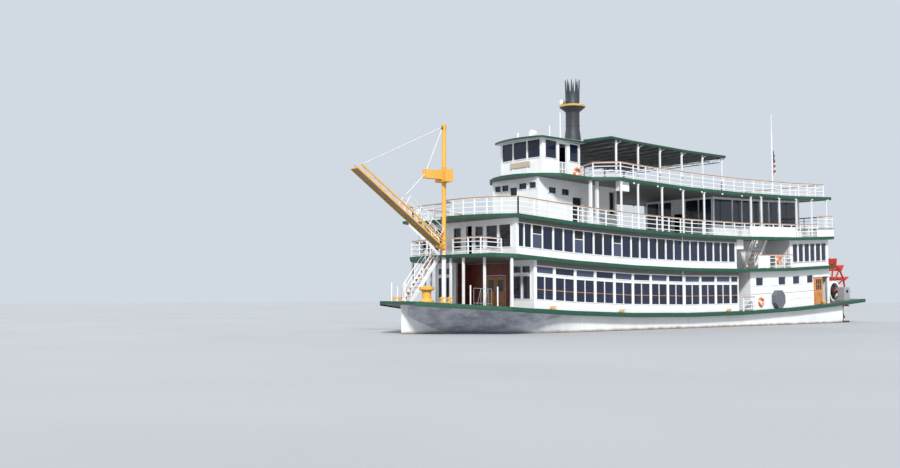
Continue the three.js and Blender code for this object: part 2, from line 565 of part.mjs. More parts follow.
// Fourth deck, full beam aft of the pilothouse and narrower beside it
const FOURTH_OUTLINE = [[16.2, 0.6], [15.9, 1.7], [15.35, 2.7], [14.6, 3.47], [12, 3.7],
  [10.75, HALF_BEAM], [-16.7, HALF_BEAM]];
function makeFourthDeck() {
  const outline = mirrored(FOURTH_OUTLINE);
  addNode('fourth_deck', 'green', sheered(planPrism(outline, FOURTH - DECK_THICK, FOURTH)));
}

// Pilothouse with a slightly bowed front
const PILOT = { aft: 11.2, side: 14.9, nose: 15.0, noseHalf: 0.68, half: 2.0, wall: 2.5, roof: 0.26,
  sill: 1.22, head: 2.4, door: [12.55, 13.3], doorTop: 2.3 };
const PILOT_PLAN = [[PILOT.nose, PILOT.noseHalf], [PILOT.side, PILOT.half], [PILOT.aft, PILOT.half]];
const PILOT_ROOF = [[15.65, 0.75], [15.2, 2.3], [10.9, 2.3]];
// Windows in the pilothouse. Columns: aft x, fore x, inner and outer y
const PILOT_SIDE = [[11.4, 12.25, 1.5, 2.5], [13.55, 14.6, 1.5, 2.5], [14.5, 15.6, 0.73, 1.82]];
const PILOT_ENDS = [[14.5, 15.6, -0.63, 0.63], [10.5, 12, -1.5, 1.5]];
// Rods on its roof. Columns: x, y, height over the roof, radius
const ROOF_RODS = [[15.2, 0, 0.35, 0.05], [13.46, 1.3, 0.9, 0.04], [12.42, 1.3, 1.95, 0.04],
  [12.6, -1.1, 0.45, 0.06]];
// Turned housings on its roof: x, y and a profile of [radius, height over the roof]
const ROOF_HOUSINGS = [
  [12.6, -1.1, [[0, 0.4], [0.22, 0.45], [0.22, 0.8], [0.12, 0.9], [0, 0.9]]],
  [13.9, -0.9, [[0, -0.2], [0.17, -0.2], [0.17, 0.1], [0.08, 0.22], [0, 0.22]]]];
function makePilothouse() {
  const [low, high] = [FOURTH + GAP, FOURTH + PILOT.wall];
  const walls = ringWalls(mirrored(PILOT_PLAN), low, high);
  const [sill, head] = [FOURTH + PILOT.sill, FOURTH + PILOT.head];
  const shrunk = ([x0, x1, y0, y1], margin) =>
    [x0 + margin, x1 - margin, y0 + margin, y1 - margin, sill + margin, head - margin];
  const windows = (margin) => [
    bothSides((s) => PILOT_SIDE.map((window) => sideBox(s, ...shrunk(window, margin)))),
    PILOT_ENDS.map((window) => deckBox(...shrunk(window, margin)))];
  const doorways = bothSides((s) => sideBox(s, ...PILOT.door, 1.5, 2.5, 0, FOURTH + PILOT.doorTop));
  addNode('pilothouse_walls', 'white', cut(walls, windows(0), doorways));
  const skin = insetOutline(mirrored(PILOT_PLAN), WALL + GAP);
  const [z0, z1] = [sill - PANES.lap, head + 0.06];
  const band = cut(sheered(planPrism(skin, z0, z1)),
    sheered(planPrism(insetOutline(skin, PANES.inset), z0 - 1, z1 + 1)),
    bothSides((s) => sideBox(s, PILOT.door[0] - 0.1, PILOT.door[1] + 0.1, 1.5, 2.5, z0 - 1, z1 - 0.04)));
  addNode('pilothouse_glass', 'glass', join(band, raised(mirrored(PILOT_PLAN), windows(GAP))));
  const roof = sheered(planPrism(mirrored(PILOT_ROOF), high + GAP, high + PILOT.roof));
  const roofTop = high + PILOT.roof + rise(14);
  const rods = ROOF_RODS.map(([x, y, height, radius]) =>
    rod([x, y, roofTop - 0.2], [x, y, roofTop + height], radius, 6));
  const housings = ROOF_HOUSINGS.map(([x, y, profile]) =>
    turned(profile.map(([r, height]) => [r, roofTop + height]), x, y, 10));
  addNode('pilothouse_roof', 'white', join(roof, rods, housings));
}

// Barred gates in the pilothouse's side doorways
const GATE = { low: 0.04, high: 1.08, frame: 0.06, bar: 0.02, rows: [[0.1, 0.54], [0.6, 1.02]] };
function makeGates() {
  const [x, y] = [PILOT.door[0] + LEAF.clear + LEAF.pivot, PILOT.half - 0.05];
  const [x0, x1] = [x - LEAF.pivot, PILOT.door[1] - LEAF.clear];
  const middle = (x0 + x1) / 2;
  const columns = [[x0 + GATE.frame, middle - GATE.bar], [middle + GATE.bar, x1 - GATE.frame]];
  bothSides((s) => {
    const gate = sideBox(s, x0, x1, y - 0.03, y + 0.03, FOURTH + GATE.low, FOURTH + GATE.high);
    const holes = columns.map(([u0, u1]) => GATE.rows.map(([w0, w1]) =>
      sideBox(s, u0, u1, y - 1, y + 1, FOURTH + w0, FOURTH + w1)));
    const pin = doorPin(x, s * y, FOURTH, FOURTH + PILOT.doorTop);
    addNode(`pilothouse_door_${sideName(s)}`, 'white', join(cut(gate, holes), pin));
  });
}

// Canopy over the fourth deck, on white posts
const CANOPY = { fore: 11.3, notch: 10.87, notchHalf: 2.4, aft: -1.8, half: 4.9, low: 2.55, thick: 0.16,
  postY: 4.7, postHalf: 0.05 };
const CANOPY_POSTS = [-1.5, 0.9, 3.4, 5.9, 8.3, 10.6];
function makeCanopy() {
  const z = FOURTH + CANOPY.low;
  const { fore, notch, notchHalf, aft, half, postY, postHalf } = CANOPY;
  const outline = mirrored([[notch, notchHalf], [fore, notchHalf], [fore, half], [aft, half]]);
  const slab = sheered(planPrism(outline, z, z + CANOPY.thick));
  const posts = bothSides((s) => CANOPY_POSTS.map((x) =>
    sideBox(s, x - postHalf, x + postHalf, postY - postHalf, postY + postHalf, FOURTH + GAP, z + 0.01)));
  const beams = bothSides((s) =>
    sideBox(s, aft + 0.3, fore - 0.7, postY - postHalf, postY + postHalf, z - 0.1, z + 0.01));
  addNode('canopy', 'white', join(slab, posts, beams));
}

// Funnel with a skirt at its foot, a ring near its top and a crown of points
const FUNNEL = { x: 9.75, radius: 0.495, foot: 0.66, top: 16.8, ring: 15.85, ringRadius: 0.93, points: 10 };
// Side outline of one point of the crown: [across, up from the funnel's top]
const CROWN_POINT = [[-0.08, -0.1], [0.08, -0.1], [0.08, 0.25], [0.03, 1], [-0.03, 1], [-0.08, 0.25]];
function makeFunnel() {
  const foot = FOURTH + CANOPY.low + CANOPY.thick + rise(FUNNEL.x + FUNNEL.foot) + GAP;
  const { x, radius: r, top, ring, ringRadius, points } = FUNNEL;
  const profile = [[0, foot], [FUNNEL.foot, foot], [FUNNEL.foot, foot + 0.4], [r + 0.04, foot + 1],
    [r, foot + 1.4], [r, ring - 0.42], [ringRadius, ring - 0.1], [ringRadius, ring + 0.08], [r, ring + 0.1],
    [r + 0.02, top], [r - 0.06, top], [r - 0.06, ring + 0.4], [0, ring + 0.4]];
  const crown = steps(points).map((n) => {
    const a = (n / points) * 360;
    return sidePrism(CROWN_POINT, -0.02, 0.02)
      .rotate(0, 0, 90).translate(r - 0.02, 0, top).rotate(0, 0, a).translate(x, 0, 0);
  });
  addNode('funnel', 'dark', join(turned(profile, x, 0, 20), crown));
}

// Railings. The third deck's also carry the posts under the fourth deck
const THIRD_POSTS = [10.6, 8.85, 6.24, 3.84, 1.33, -4.7, -6.14, -8.72, -11.26, -13.6, -16.0];
const SIDE_RAIL_Y = 5.1;
const BULWARK = [-11, -4.5];    // aft and fore x of the solid part of the third deck's railing
const foreRail = (y) => [bowEdge(y)[0] - 0.1, y];
function makeRailings() {
  bothSides((s) => addNode(`second_gallery_rail_${sideName(s)}`, 'white',
    railing([[SALON.aft - 0.1, s * SIDE_RAIL_Y], [AFT_CABIN.step + 0.2, s * SIDE_RAIL_Y]], SECOND)));
  addNode('second_fore_rail_port', 'white',
    railing([[SALON.fore + 0.05, 3.5], [21.2, 2.9], [21.35, 1.9], [21.35, 0.45]], SECOND, 1.6));
  addNode('second_fore_rail_starboard', 'white',
    railing([[SALON.fore + 0.05, -4.4], [21.05, -4.15], [21.36, -2.15], [21.36, -1.8]], SECOND, 2.2));
  const sternX = STERN_X + 0.1;
  const foreEdge = [4.1, 2.2, 0.4, -0.65].map(foreRail);
  const [inner, outer] = [SIDE_RAIL_Y - RAIL.thick / 2, SIDE_RAIL_Y + RAIL.thick / 2];
  const third = [
    railing([[sternX, -SIDE_RAIL_Y], [sternX, SIDE_RAIL_Y]], THIRD, 5.1),
    railing([[sternX, SIDE_RAIL_Y], [20.15, SIDE_RAIL_Y]], THIRD, 9.3),
    railing([[20.15, SIDE_RAIL_Y], ...foreEdge, [20.47, -0.85], [20.47, -4.2]], THIRD),
    railing([[20.25, -SIDE_RAIL_Y], [sternX, -SIDE_RAIL_Y]], THIRD, 9.3),
    railing([[21.1, -4.92], [20.25, -SIDE_RAIL_Y]], THIRD),
    bothSides((s) => THIRD_POSTS.map((x) =>
      sideBox(s, x - 0.05, x + 0.05, inner, outer, THIRD + GAP, FOURTH - DECK_THICK - GAP))),
    bothSides((s) => sideBox(s, ...BULWARK, inner, outer, THIRD + 0.1, THIRD + RAIL_HEIGHT - 0.04))];
  addNode('third_deck_rail', 'white', join(third));
  const fourthPath = [[11.05, -2.15], [11.7, -3.6], [10.65, -SIDE_RAIL_Y], [-15.6, -SIDE_RAIL_Y],
    [-15.6, SIDE_RAIL_Y], [10.65, SIDE_RAIL_Y], [11.7, 3.6], [11.05, 2.15]];
  addNode('fourth_deck_rail', 'white', railing(fourthPath, FOURTH, 5.4));
  bothSides((s) => addNode(`passage_rail_${sideName(s)}`, 'white',
    railing([[CABIN.aft - 0.06, s * SIDE_RAIL_Y], [AFT_HOUSE.fore + 0.06, s * SIDE_RAIL_Y]], MAIN)));
}

// Open stairs. A flight is drawn along its own run, then set in its place
const FLIGHT = { deep: 0.28, thick: 0.05, tread: 0.12, rail: 0.88, railDeep: 0.07 };
function flight(run, climb, width, treads, railFrom, railTo) {
  const pitch = climb / run;
  const tread = Math.min(FLIGHT.tread, run / treads / 2);
  const outline = [[0, 0], [0.25, 0], [run, climb - FLIGHT.deep], [run, climb], [run - 0.1, climb]];
  const innerFace = (s) => (s > 0 ? width / 2 - FLIGHT.thick : -width / 2);
  const stringers = bothSides((s) => sidePrism(outline, innerFace(s), innerFace(s) + FLIGHT.thick));
  const boards = steps(treads).map((n) => {
    const x = (run * (n + 0.5)) / treads;
    return box(x - tread, x + tread, -width / 2 + 0.01, width / 2 - 0.01, x * pitch - 0.06, x * pitch - 0.01);
  });
  const rails = bothSides((s) => {
    const y0 = innerFace(s);
    const y1 = y0 + FLIGHT.thick;
    const [low, high] = [railFrom * pitch + FLIGHT.rail, railTo * pitch + FLIGHT.rail];
    const bar = sidePrism([[railFrom, low], [railTo, high], [railTo, high + FLIGHT.railDeep],
      [railFrom, low + FLIGHT.railDeep]], y0, y1);
    const post = (x) => box(x, x + 0.06, y0, y1, x * pitch - 0.08, x * pitch + FLIGHT.rail + 0.04);
    return [bar, post(railFrom), post(railTo - 0.06)];
  });
  return join(stringers, boards, rails);
}
// The stair across the bow runs from its port foot to its starboard head
const UPPER_STAIR = { x: 20.88, foot: -0.95, head: -4.35, width: 0.62 };
function makeStairs() {
  const foot = MAIN + rise(BOW_STAIR.foot) + GAP;
  const head = SECOND + rise(BOW_STAIR.head);
  const bowRun = BOW_STAIR.foot - BOW_STAIR.head - GAP;
  addNode('bow_stair', 'white', flight(bowRun, head - foot, 0.9, 11, 0.25, bowRun - 0.45).rotate(0, 0, 180)
    .translate(BOW_STAIR.foot, (BOW_STAIR.y0 + BOW_STAIR.y1) / 2, foot));
  const base = SECOND + rise(UPPER_STAIR.x + UPPER_STAIR.width / 2) + GAP;
  const run = UPPER_STAIR.foot - UPPER_STAIR.head - GAP;
  const climb = THIRD + rise(20.55) - base;
  addNode('upper_stair', 'white', flight(run, climb, UPPER_STAIR.width, 10, 0.2, run - 0.1)
    .rotate(0, 0, -90).translate(UPPER_STAIR.x, UPPER_STAIR.foot, base));
  bothSides((s) => {
    const low = SECOND + rise(SIDE_STAIR.low - 0.25) + GAP;
    const length = SIDE_STAIR.low - SIDE_STAIR.high;
    addNode(`gallery_stair_${sideName(s)}`, 'white',
      flight(length, THIRD + rise(SIDE_STAIR.high) - low, 0.8, 8, 0.2, length - 0.02).rotate(0, 0, 180)
        .translate(SIDE_STAIR.low, (s * (SIDE_STAIR.y0 + SIDE_STAIR.y1)) / 2, low));
  });
}

// Slewing mast with its winch box
const WINCH = { low: 9.5, high: 10.3, half: 0.54, fore: 23.3 };
function makeMast() {
  const foot = MAIN + rise(MAST.x + MAST.radius) + GAP;
  const [low, high] = [HINGE.z - 0.12, HINGE.z + 0.12];
  const bracket = join(
    box(MAST.x + 0.05, MAST.x + 0.16, -0.2, 0.2, low, high),
    bothSides((s) => box(MAST.x + 0.1, HINGE.x + 0.07, s * 0.165 - 0.035, s * 0.165 + 0.035, low, high)),
    rod([HINGE.x, -0.2, HINGE.z], [HINGE.x, 0.2, HINGE.z], HINGE.pin));
  const pole = rod([MAST.x, 0, foot], [MAST.x, 0, MAST.top], MAST.radius, MAST.sides);
  addNode('mast', 'yellow', join(pole, bracket));
  const winch = join(
    box(MAST.x - 0.3, MAST.x + 0.3, -WINCH.half, WINCH.half, WINCH.low, WINCH.high),
    box(MAST.x + 0.29, WINCH.fore, -0.2, 0.2, WINCH.low + 0.15, WINCH.high - 0.1));
  addNode('winch_box', 'yellow', cut(winch,
    rod([MAST.x, 0, WINCH.low - 1], [MAST.x, 0, WINCH.high + 1], MAST.radius + GAP, MAST.sides)));
}

// The gangway, drawn level with its pin at the origin, then raised by its angle
const GANGWAY = { length: 7.9, angle: 34.3, half: 0.4, deep: 0.42, bays: 5, start: 0.15, post: 0.07,
  side: 0.06, chord: 0.08, handTop: 1.06 };
const GANGWAY_STANCHIONS = [0.6, 2.2, 3.84];
function gangwaySide(s) {
  const { length, half, deep, bays, start, post, side, chord, handTop } = GANGWAY;
  const y0 = s > 0 ? half - side : -half;
  const y1 = y0 + side;
  const bay = (length - 3 * start) / bays;
  const posts = steps(bays + 1).map((n) => {
    const x = start + bay * n;
    return box(x, x + post, y0, y1, 0.01, deep - 0.01);
  });
  const braces = steps(bays).map((n) => {
    const x = start + 0.03 + bay * n;
    const [x1, z1] = [x + bay, deep - 0.02];
    return sidePrism([[x, 0.02], [x + 0.08, 0.02], [x1 + 0.03, z1], [x1 - 0.05, z1]], y0, y1);
  });
  const hand = box(GANGWAY_STANCHIONS[0], GANGWAY_STANCHIONS.at(-1) + 0.06, y0 + 0.01, y1 - 0.01,
    handTop - 0.06, handTop);
  const stanchions = GANGWAY_STANCHIONS.map((x) =>
    box(x, x + 0.06, y0 + 0.01, y1 - 0.01, deep - 0.02, handTop - 0.03));
  const lower = box(0.12, length, y0, y1, 0, chord);
  const upper = box(0.12, length - 0.1, y0, y1, deep - chord, deep);
  return [lower, upper, posts, braces, hand, stanchions];
}
function makeGangway() {
  const { length, half, angle } = GANGWAY;
  const floor = box(0.12, length, -half + 0.01, half - 0.01, 0.01, 0.05);
  const pinZ = 0.06;
  // The eye's flats clear the pin's corners all the way round
  const bore = (HINGE.pin + GAP) / Math.cos(Math.PI / 8);
  const eye = cut(box(-0.08, 0.2, -0.11, 0.11, -0.04, 0.16), rod([0, -1, pinZ], [0, 1, pinZ], bore));
  addNode('gangway', 'yellow', join(bothSides(gangwaySide), floor, eye).translate(0, 0, -pinZ)
    .rotate(0, -angle, 0).translate(HINGE.x, 0, HINGE.z));
}

// Paddle wheel: a shaft, spoked frames and full-width bucket boards
const BUCKETS = 14;
const FRAMES = { y: [-3.1, -1.03, 1.03, 3.1], thick: 0.1, rim: 2.62, rimWide: 0.14, hub: 0.45,
  spokeHalf: 0.055 };
function wheelFrame(y) {
  const corner = (r, angle) => new THREE.Vector2(r * Math.cos(angle), r * Math.sin(angle));
  const sector = (2 * Math.PI) / BUCKETS;
  const shape = new THREE.Shape(steps(BUCKETS).map((n) => corner(FRAMES.rim, n * sector)));
  const inside = FRAMES.rim - FRAMES.rimWide;
  for (const n of steps(BUCKETS)) {
    const [near, far] = [FRAMES.hub, inside].map((r) => Math.asin(FRAMES.spokeHalf / r));
    shape.holes.push(new THREE.Path([corner(FRAMES.hub, n * sector + near), corner(inside, n * sector + far),
      corner(inside, (n + 1) * sector - far), corner(FRAMES.hub, (n + 1) * sector - near)]));
  }
  const geometry = new THREE.ExtrudeGeometry(shape, { depth: FRAMES.thick, bevelEnabled: false });
  geometry.rotateX(Math.PI / 2);
  geometry.translate(0, y + FRAMES.thick / 2, 0);
  return solidOf(geometry);
}
function makePaddleWheel() {
  const { x, z, radius, half } = WHEEL;
  const buckets = steps(BUCKETS).map((n) =>
    box(FRAMES.rim - 0.24, radius, -half, half, -0.03, 0.03).rotate(0, (n * 360) / BUCKETS, 0));
  const shaftEnd = BEARING.y + BEARING.half + 0.02;
  const shaft = rod([0, -shaftEnd, 0], [0, shaftEnd, 0], BEARING.shaft, BEARING.sides);
  addNode('paddle_wheel', 'red', join(FRAMES.y.map(wheelFrame), buckets, shaft).translate(x, 0, z));
}

// Rudders hung under the wheel beams
const RUDDER = { x: -19.7, y: 4.35, fore: 0.35, aft: 1.1, low: -0.75, high: 0.15, stock: 0.09 };
function makeRudders() {
  const deckUnder = MAIN - DECK_THICK + rise(RUDDER.x + RUDDER.stock) - GAP;
  bothSides((s) => {
    const y = s * RUDDER.y;
    addNode(`rudder_${sideName(s)}`, 'dark', join(
      box(RUDDER.x - RUDDER.aft, RUDDER.x + RUDDER.fore, y - 0.05, y + 0.05, RUDDER.low, RUDDER.high),
      rod([RUDDER.x, y, RUDDER.low + 0.1], [RUDDER.x, y, deckUnder], RUDDER.stock, 8)));
  });
}

// Fittings on the fore deck and elsewhere
// The capstan's profile of [radius, height over the deck]
const CAPSTAN = [[0, 0], [0.45, 0], [0.45, 0.12], [0.3, 0.25], [0.28, 0.7], [0.48, 0.8], [0.48, 0.95],
  [0.2, 1.02], [0, 1.02]];
const BITTS = { x: 23.6, y: 2.45, spread: 0.28, half: 0.4, height: 0.36, radius: 0.09 };
const DRUM = { x: -8.6, radius: 0.75, half: 0.19, z: 0.74 };
const FLAGPOLE = { x: -16.2, top: 18.5, joint: 16.75 };
function makeFittings() {
  const capstan = { x: 23.55, y: 0.55 };
  const top = MAIN + rise(capstan.x + CAPSTAN[1][0]) + GAP;
  addNode('capstan', 'yellow', turned(CAPSTAN.map(([r, z]) => [r, top + z]), capstan.x, capstan.y, 14));
  bothSides((s) => {
    const base = MAIN + rise(BITTS.x + BITTS.half) + GAP;
    const y = s * BITTS.y;
    addNode(`bitts_${sideName(s)}`, 'yellow', join(
      box(BITTS.x - BITTS.half, BITTS.x + BITTS.half, y - 0.12, y + 0.12, base, base + 0.06),
      [BITTS.x - BITTS.spread, BITTS.x + BITTS.spread].map((x) =>
        rod([x, y, base + 0.03], [x, y, base + BITTS.height], BITTS.radius)),
      box(BITTS.x - 0.45, BITTS.x + 0.45, y - 0.07, y + 0.07, base + 0.24, base + 0.31)));
  });
  const drum = new THREE.CylinderGeometry(DRUM.radius, DRUM.radius, 2 * DRUM.half, 8);
  drum.rotateY(Math.PI / 8);
  drum.translate(DRUM.x, CABIN_HALF + GAP + DRUM.half, MAIN + rise(DRUM.x) + DRUM.z);
  addNode('raft_drum', 'grey', solidOf(drum));
  const { x, top: tip, joint } = FLAGPOLE;
  const foot = FOURTH + rise(x) + 0.01;
  addNode('flagpole', 'white', join(
    rod([x, 0, foot], [x, 0, foot + 0.1], 0.2, 10),
    rod([x, 0, foot + 0.05], [x, 0, joint + 0.05], 0.05),
    rod([x, 0, joint - 0.05], [x, 0, tip], 0.025)));
  addNode('flag', 'cloth', box(x - 0.65, x - 0.05 - GAP, -0.06, 0.06, 12.9, 15.3));
}

makeHull();
makeMainDeck();
makeMainCabin();
makeEntranceDoors();
makeAftHouse();
makeSecondDeck();
makeSecondCabin();
makeAftCabin();
makeThirdDeck();
makeFrontHouse();
makeRearHouse();
makeFourthDeck();
makePilothouse();
makeGates();
makeCanopy();
makeFunnel();
makeRailings();
makeStairs();
makeMast();
makeGangway();
makePaddleWheel();
makeRudders();
makeFittings();

// The origin goes to the middle of the whole box, at the underside of the hull
const bounds = new THREE.Box3().setFromObject(group);
const middle = bounds.getCenter(new THREE.Vector3());
group.position.set(-middle.x, -middle.y, -bounds.min.z);

export default group;
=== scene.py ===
import math

import bmesh
import bpy
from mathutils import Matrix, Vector


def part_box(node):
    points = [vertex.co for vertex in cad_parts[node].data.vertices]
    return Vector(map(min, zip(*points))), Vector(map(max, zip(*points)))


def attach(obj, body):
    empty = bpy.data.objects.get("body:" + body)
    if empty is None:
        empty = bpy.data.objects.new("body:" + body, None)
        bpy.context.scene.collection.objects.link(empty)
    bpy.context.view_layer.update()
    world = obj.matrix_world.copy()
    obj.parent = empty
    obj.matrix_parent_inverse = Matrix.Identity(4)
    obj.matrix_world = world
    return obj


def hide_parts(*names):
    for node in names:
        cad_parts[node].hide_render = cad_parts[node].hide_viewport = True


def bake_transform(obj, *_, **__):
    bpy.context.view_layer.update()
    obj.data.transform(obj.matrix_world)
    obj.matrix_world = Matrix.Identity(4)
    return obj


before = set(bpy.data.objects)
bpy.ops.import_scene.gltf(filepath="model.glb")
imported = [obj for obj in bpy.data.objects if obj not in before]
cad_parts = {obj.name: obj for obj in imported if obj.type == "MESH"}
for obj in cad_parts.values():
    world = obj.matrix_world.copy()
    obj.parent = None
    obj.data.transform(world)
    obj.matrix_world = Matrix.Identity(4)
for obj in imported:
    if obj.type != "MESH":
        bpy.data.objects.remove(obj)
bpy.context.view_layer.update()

# Sizes are the real boat's in metres, X forward, Y to port and Z up from the waterline, as in the
# CAD source. at() takes them to the row frame, which is half as large.
SCALE = 0.5
WATER = 0.5
BOW_X, STERN_X = 25.4, -17.0
OFFSET_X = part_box("main_deck")[1].x - BOW_X * SCALE
SIDES = ((1, "port"), (-1, "starboard"))
GAP = 0.0006
DRAFT = 1.0
HALF_BEAM = 5.2
CABIN_HALF = 4.75
RAIL_Y = 5.1
WALL = 0.12
DECK_THICK = 0.2
DECKS = MAIN, SECOND, THIRD, FOURTH = 1.1, 4.3, 6.75, 10.1
UNDER_MAIN, UNDER_SECOND, UNDER_THIRD, UNDER_FOURTH = (deck - DECK_THICK - GAP for deck in DECKS)
# Tops of the trim and of the beams, which stop a little lower
TRIM_MAIN, TRIM_SECOND, TRIM_THIRD, TRIM_FOURTH = (deck - DECK_THICK - 0.01 for deck in DECKS)
KNUCKLES = [-22.2, -16.9, -10.7, -3.3, 3, 9.3, 15, 20, 25.4]


def at(x, y, z):
    return Vector((x * SCALE + OFFSET_X, y * SCALE, z * SCALE + WATER))


def parabola(x):
    return (0.0018 if x > 3 else 0.0015) * (x - 3) ** 2


def rise(x):
    """Height that the decks' sheer adds at a station."""
    last = len(KNUCKLES) - 2
    i = next((n for n in range(last) if x < KNUCKLES[n + 1]), last)
    a, b = KNUCKLES[i], KNUCKLES[i + 1]
    return parabola(a) + (parabola(b) - parabola(a)) * (x - a) / (b - a)


# Camera
CAMERA_PLACE = (60.096, 46.396, 2.356)
CAMERA_YAW, CAMERA_PITCH = math.radians(39.96), math.radians(3.67)
LENS, SENSOR, FAR = 38.24, 36, 300
camera = bpy.data.objects.new("camera", bpy.data.cameras.new("camera"))
bpy.context.scene.collection.objects.link(camera)
bpy.context.scene.camera = camera
camera.data.lens = LENS
camera.data.sensor_width = SENSOR
camera.data.clip_end = FAR
camera.location = at(*CAMERA_PLACE)
level = math.cos(CAMERA_PITCH)
look = Vector((-math.sin(CAMERA_YAW) * level, -math.cos(CAMERA_YAW) * level, math.sin(CAMERA_PITCH)))
camera.rotation_mode = "QUATERNION"
camera.rotation_quaternion = look.to_track_quat("-Z", "Y")


# Materials
class Nodes:
    """A material under construction, with its Principled shader."""

    def __init__(self, name):
        self.material = bpy.data.materials.new(name)
        self.material.use_nodes = True
        self.tree = self.material.node_tree
        self.tree.nodes.clear()
        self.shader = self.node("BsdfPrincipled")
        self.node("OutputMaterial", {0: self.shader.outputs[0]})
        self.coords = self.node("TexCoord").outputs["Object"]

    def put(self, socket, value):
        """Links an output to a socket, or sets a constant on it."""
        if isinstance(value, bpy.types.NodeSocket):
            self.tree.links.new(value, socket)
        else:
            socket.default_value = (*value, 1) if socket.type == "RGBA" else value

    def node(self, kind, values=None, **settings):
        made = self.tree.nodes.new("ShaderNode" + kind)
        for key, value in settings.items():
            setattr(made, key, value)
        for key, value in (values or {}).items():
            self.put(made.inputs[key], value)
        return made

    def noise(self, scale, detail=3.0, stretch=None, rough=0.55):
        coords = self.coords
        if stretch:
            coords = self.node("Mapping", {"Scale": stretch, "Vector": coords}).outputs[0]
        values = {"Scale": scale, "Detail": detail, "Roughness": rough, "Vector": coords}
        return self.node("TexNoise", values).outputs["Fac"]

    def ramp(self, value, low, high, to_low=0.0, to_high=1.0):
        values = {"Value": value, "From Min": low, "From Max": high, "To Min": to_low, "To Max": to_high}
        return self.node("MapRange", values).outputs[0]

    def mix(self, share, a, b):
        """A colour mixed by share; a and b are colours or outputs."""
        return self.node("Mix", {"Factor": share, 6: a, 7: b}, data_type="RGBA").outputs[2]

    def math(self, operation, a, b):
        return self.node("Math", {0: a, 1: b}, operation=operation).outputs[0]

    def axis(self, name, from_normal=False):
        source = self.node("NewGeometry").outputs["Normal"] if from_normal else self.coords
        return self.node("SeparateXYZ", {0: source}).outputs[name]

    def bump(self, height, strength, distance=0.004):
        made = self.node("Bump", {"Strength": strength, "Distance": distance, "Height": height})
        self.put(self.shader.inputs["Normal"], made.outputs[0])

    def finish(self, colour, rough=(0.35, 0.55), metal=0.0, coat=0.0):
        self.put(self.shader.inputs["Base Color"], colour)
        self.put(self.shader.inputs["Roughness"], self.ramp(self.noise(9, 2), 0.3, 0.7, *rough))
        self.put(self.shader.inputs["Metallic"], metal)
        self.put(self.shader.inputs["Coat Weight"], coat)
        return self.material


def scaled(colour, share):
    return tuple(c * share for c in colour)


def paint(name, colour, dirt=(0.45, 0.42, 0.36), dirt_share=0.25, rough=(0.38, 0.55), bump=0.25):
    """Brushed paint: uneven tone, faint runs of dirt down the sides, small dents."""
    n = Nodes(name)
    tone = n.ramp(n.noise(1.6, 4), 0.3, 0.72)
    runs = n.noise(1.0, 4, stretch=(11, 11, 0.9), rough=0.7)
    patches = n.ramp(n.noise(0.8, 2), 0.42, 0.7)
    runs_share = n.math("MULTIPLY", n.ramp(runs, 0.55, 0.8, 0, dirt_share), patches)
    n.bump(n.math("ADD", n.noise(2.2, 2), n.math("MULTIPLY", n.noise(70, 3), 0.12)), bump)
    return n.finish(n.mix(runs_share, n.mix(tone, scaled(colour, 0.88), colour), dirt), rough)


def hull_paint():
    """White hull, stained above the water and dark below it, with painted shade in blue-grey on the
    downward-facing flare under the bow, broken by painted water reflections.
    """
    n = Nodes("hull_paint")
    waver = n.ramp(n.noise(3.5, 5, stretch=(1, 1, 0.4)), 0.2, 0.8, -0.03, 0.03)
    height = n.math("ADD", n.axis("Z"), waver)
    tone = n.mix(n.ramp(n.noise(0.7, 4), 0.32, 0.7), (0.7, 0.71, 0.7), (0.83, 0.84, 0.83))
    runs = n.ramp(n.noise(1.0, 5, stretch=(7, 7, 0.5), rough=0.75), 0.54, 0.85, 0, 0.45)
    stained = n.mix(runs, tone, (0.38, 0.35, 0.3))
    side = n.mix(n.ramp(height, WATER + 0.1, WATER + 0.015), stained, (0.2, 0.13, 0.085))
    # Painted shade: faces that turn downwards, as on the flare under the bow, get blue-grey, mottled by
    # noise as painted water reflections.
    lean = n.ramp(n.axis("Z", from_normal=True), -0.15, -0.42)
    painted_ripples = n.ramp(n.noise(2.2, 5, stretch=(1, 1, 2.2), rough=0.7), 0.38, 0.62, 0.45, 0.95)
    side = n.mix(n.math("MULTIPLY", lean, painted_ripples), side, (0.26, 0.27, 0.34))
    upright = n.node("Mapping", {"Rotation": (math.pi / 2, 0, 0), "Vector": n.coords}).outputs[0]
    plates = n.node("TexBrick", {"Scale": 1.0, "Mortar Size": 0.006, "Brick Width": 1.6,
                                 "Row Height": 0.55, "Vector": upright}, offset=0.5)
    seams = n.math("MULTIPLY", plates.outputs["Fac"], 0.2)
    n.bump(n.math("SUBTRACT", n.math("MULTIPLY", n.noise(1.4, 2), 1.6), seams), 0.35, 0.01)
    below = n.ramp(height, WATER - 0.02, WATER - 0.06)
    return n.finish(n.mix(below, side, (0.045, 0.03, 0.025)), (0.3, 0.5))


TRIM_GREEN = (0.009, 0.062, 0.035)


def deck_finish(name, top, soffit_shade):
    """A deck: worn paint on top, green round the edge, and a dark soffit colour below that is painted
    shade.
    """
    n = Nodes(name)
    up = n.axis("Z", from_normal=True)
    worn = n.mix(n.ramp(n.noise(3, 5), 0.4, 0.68), top, scaled(top, 0.7))
    band = n.mix(n.ramp(n.noise(5, 4), 0.35, 0.75), TRIM_GREEN, scaled(TRIM_GREEN, 1.5))
    # Painted shade: downward-facing faces take the dark soffit colour, standing for the shade under the
    # deck.
    below = n.mix(n.ramp(n.noise(1.2, 3), 0.35, 0.7), soffit_shade, scaled(soffit_shade, 0.82))
    sides = n.mix(n.ramp(up, 0.4, 0.7), band, worn)
    n.bump(n.noise(24, 4), 0.2)
    return n.finish(n.mix(n.ramp(up, -0.4, -0.7), sides, below), (0.5, 0.72))


def glass():
    n = Nodes("window_glass")
    patches = n.ramp(n.noise(0.9, 3, stretch=(1, 1, 0.6)), 0.35, 0.65)
    n.bump(n.noise(1.5, 1), 0.05)
    n.put(n.shader.inputs["Specular IOR Level"], 0.4)
    n.put(n.shader.inputs["Coat Roughness"], 0.03)
    return n.finish(n.mix(patches, (0.003, 0.005, 0.016), (0.011, 0.018, 0.052)), (0.05, 0.12), coat=0.2)


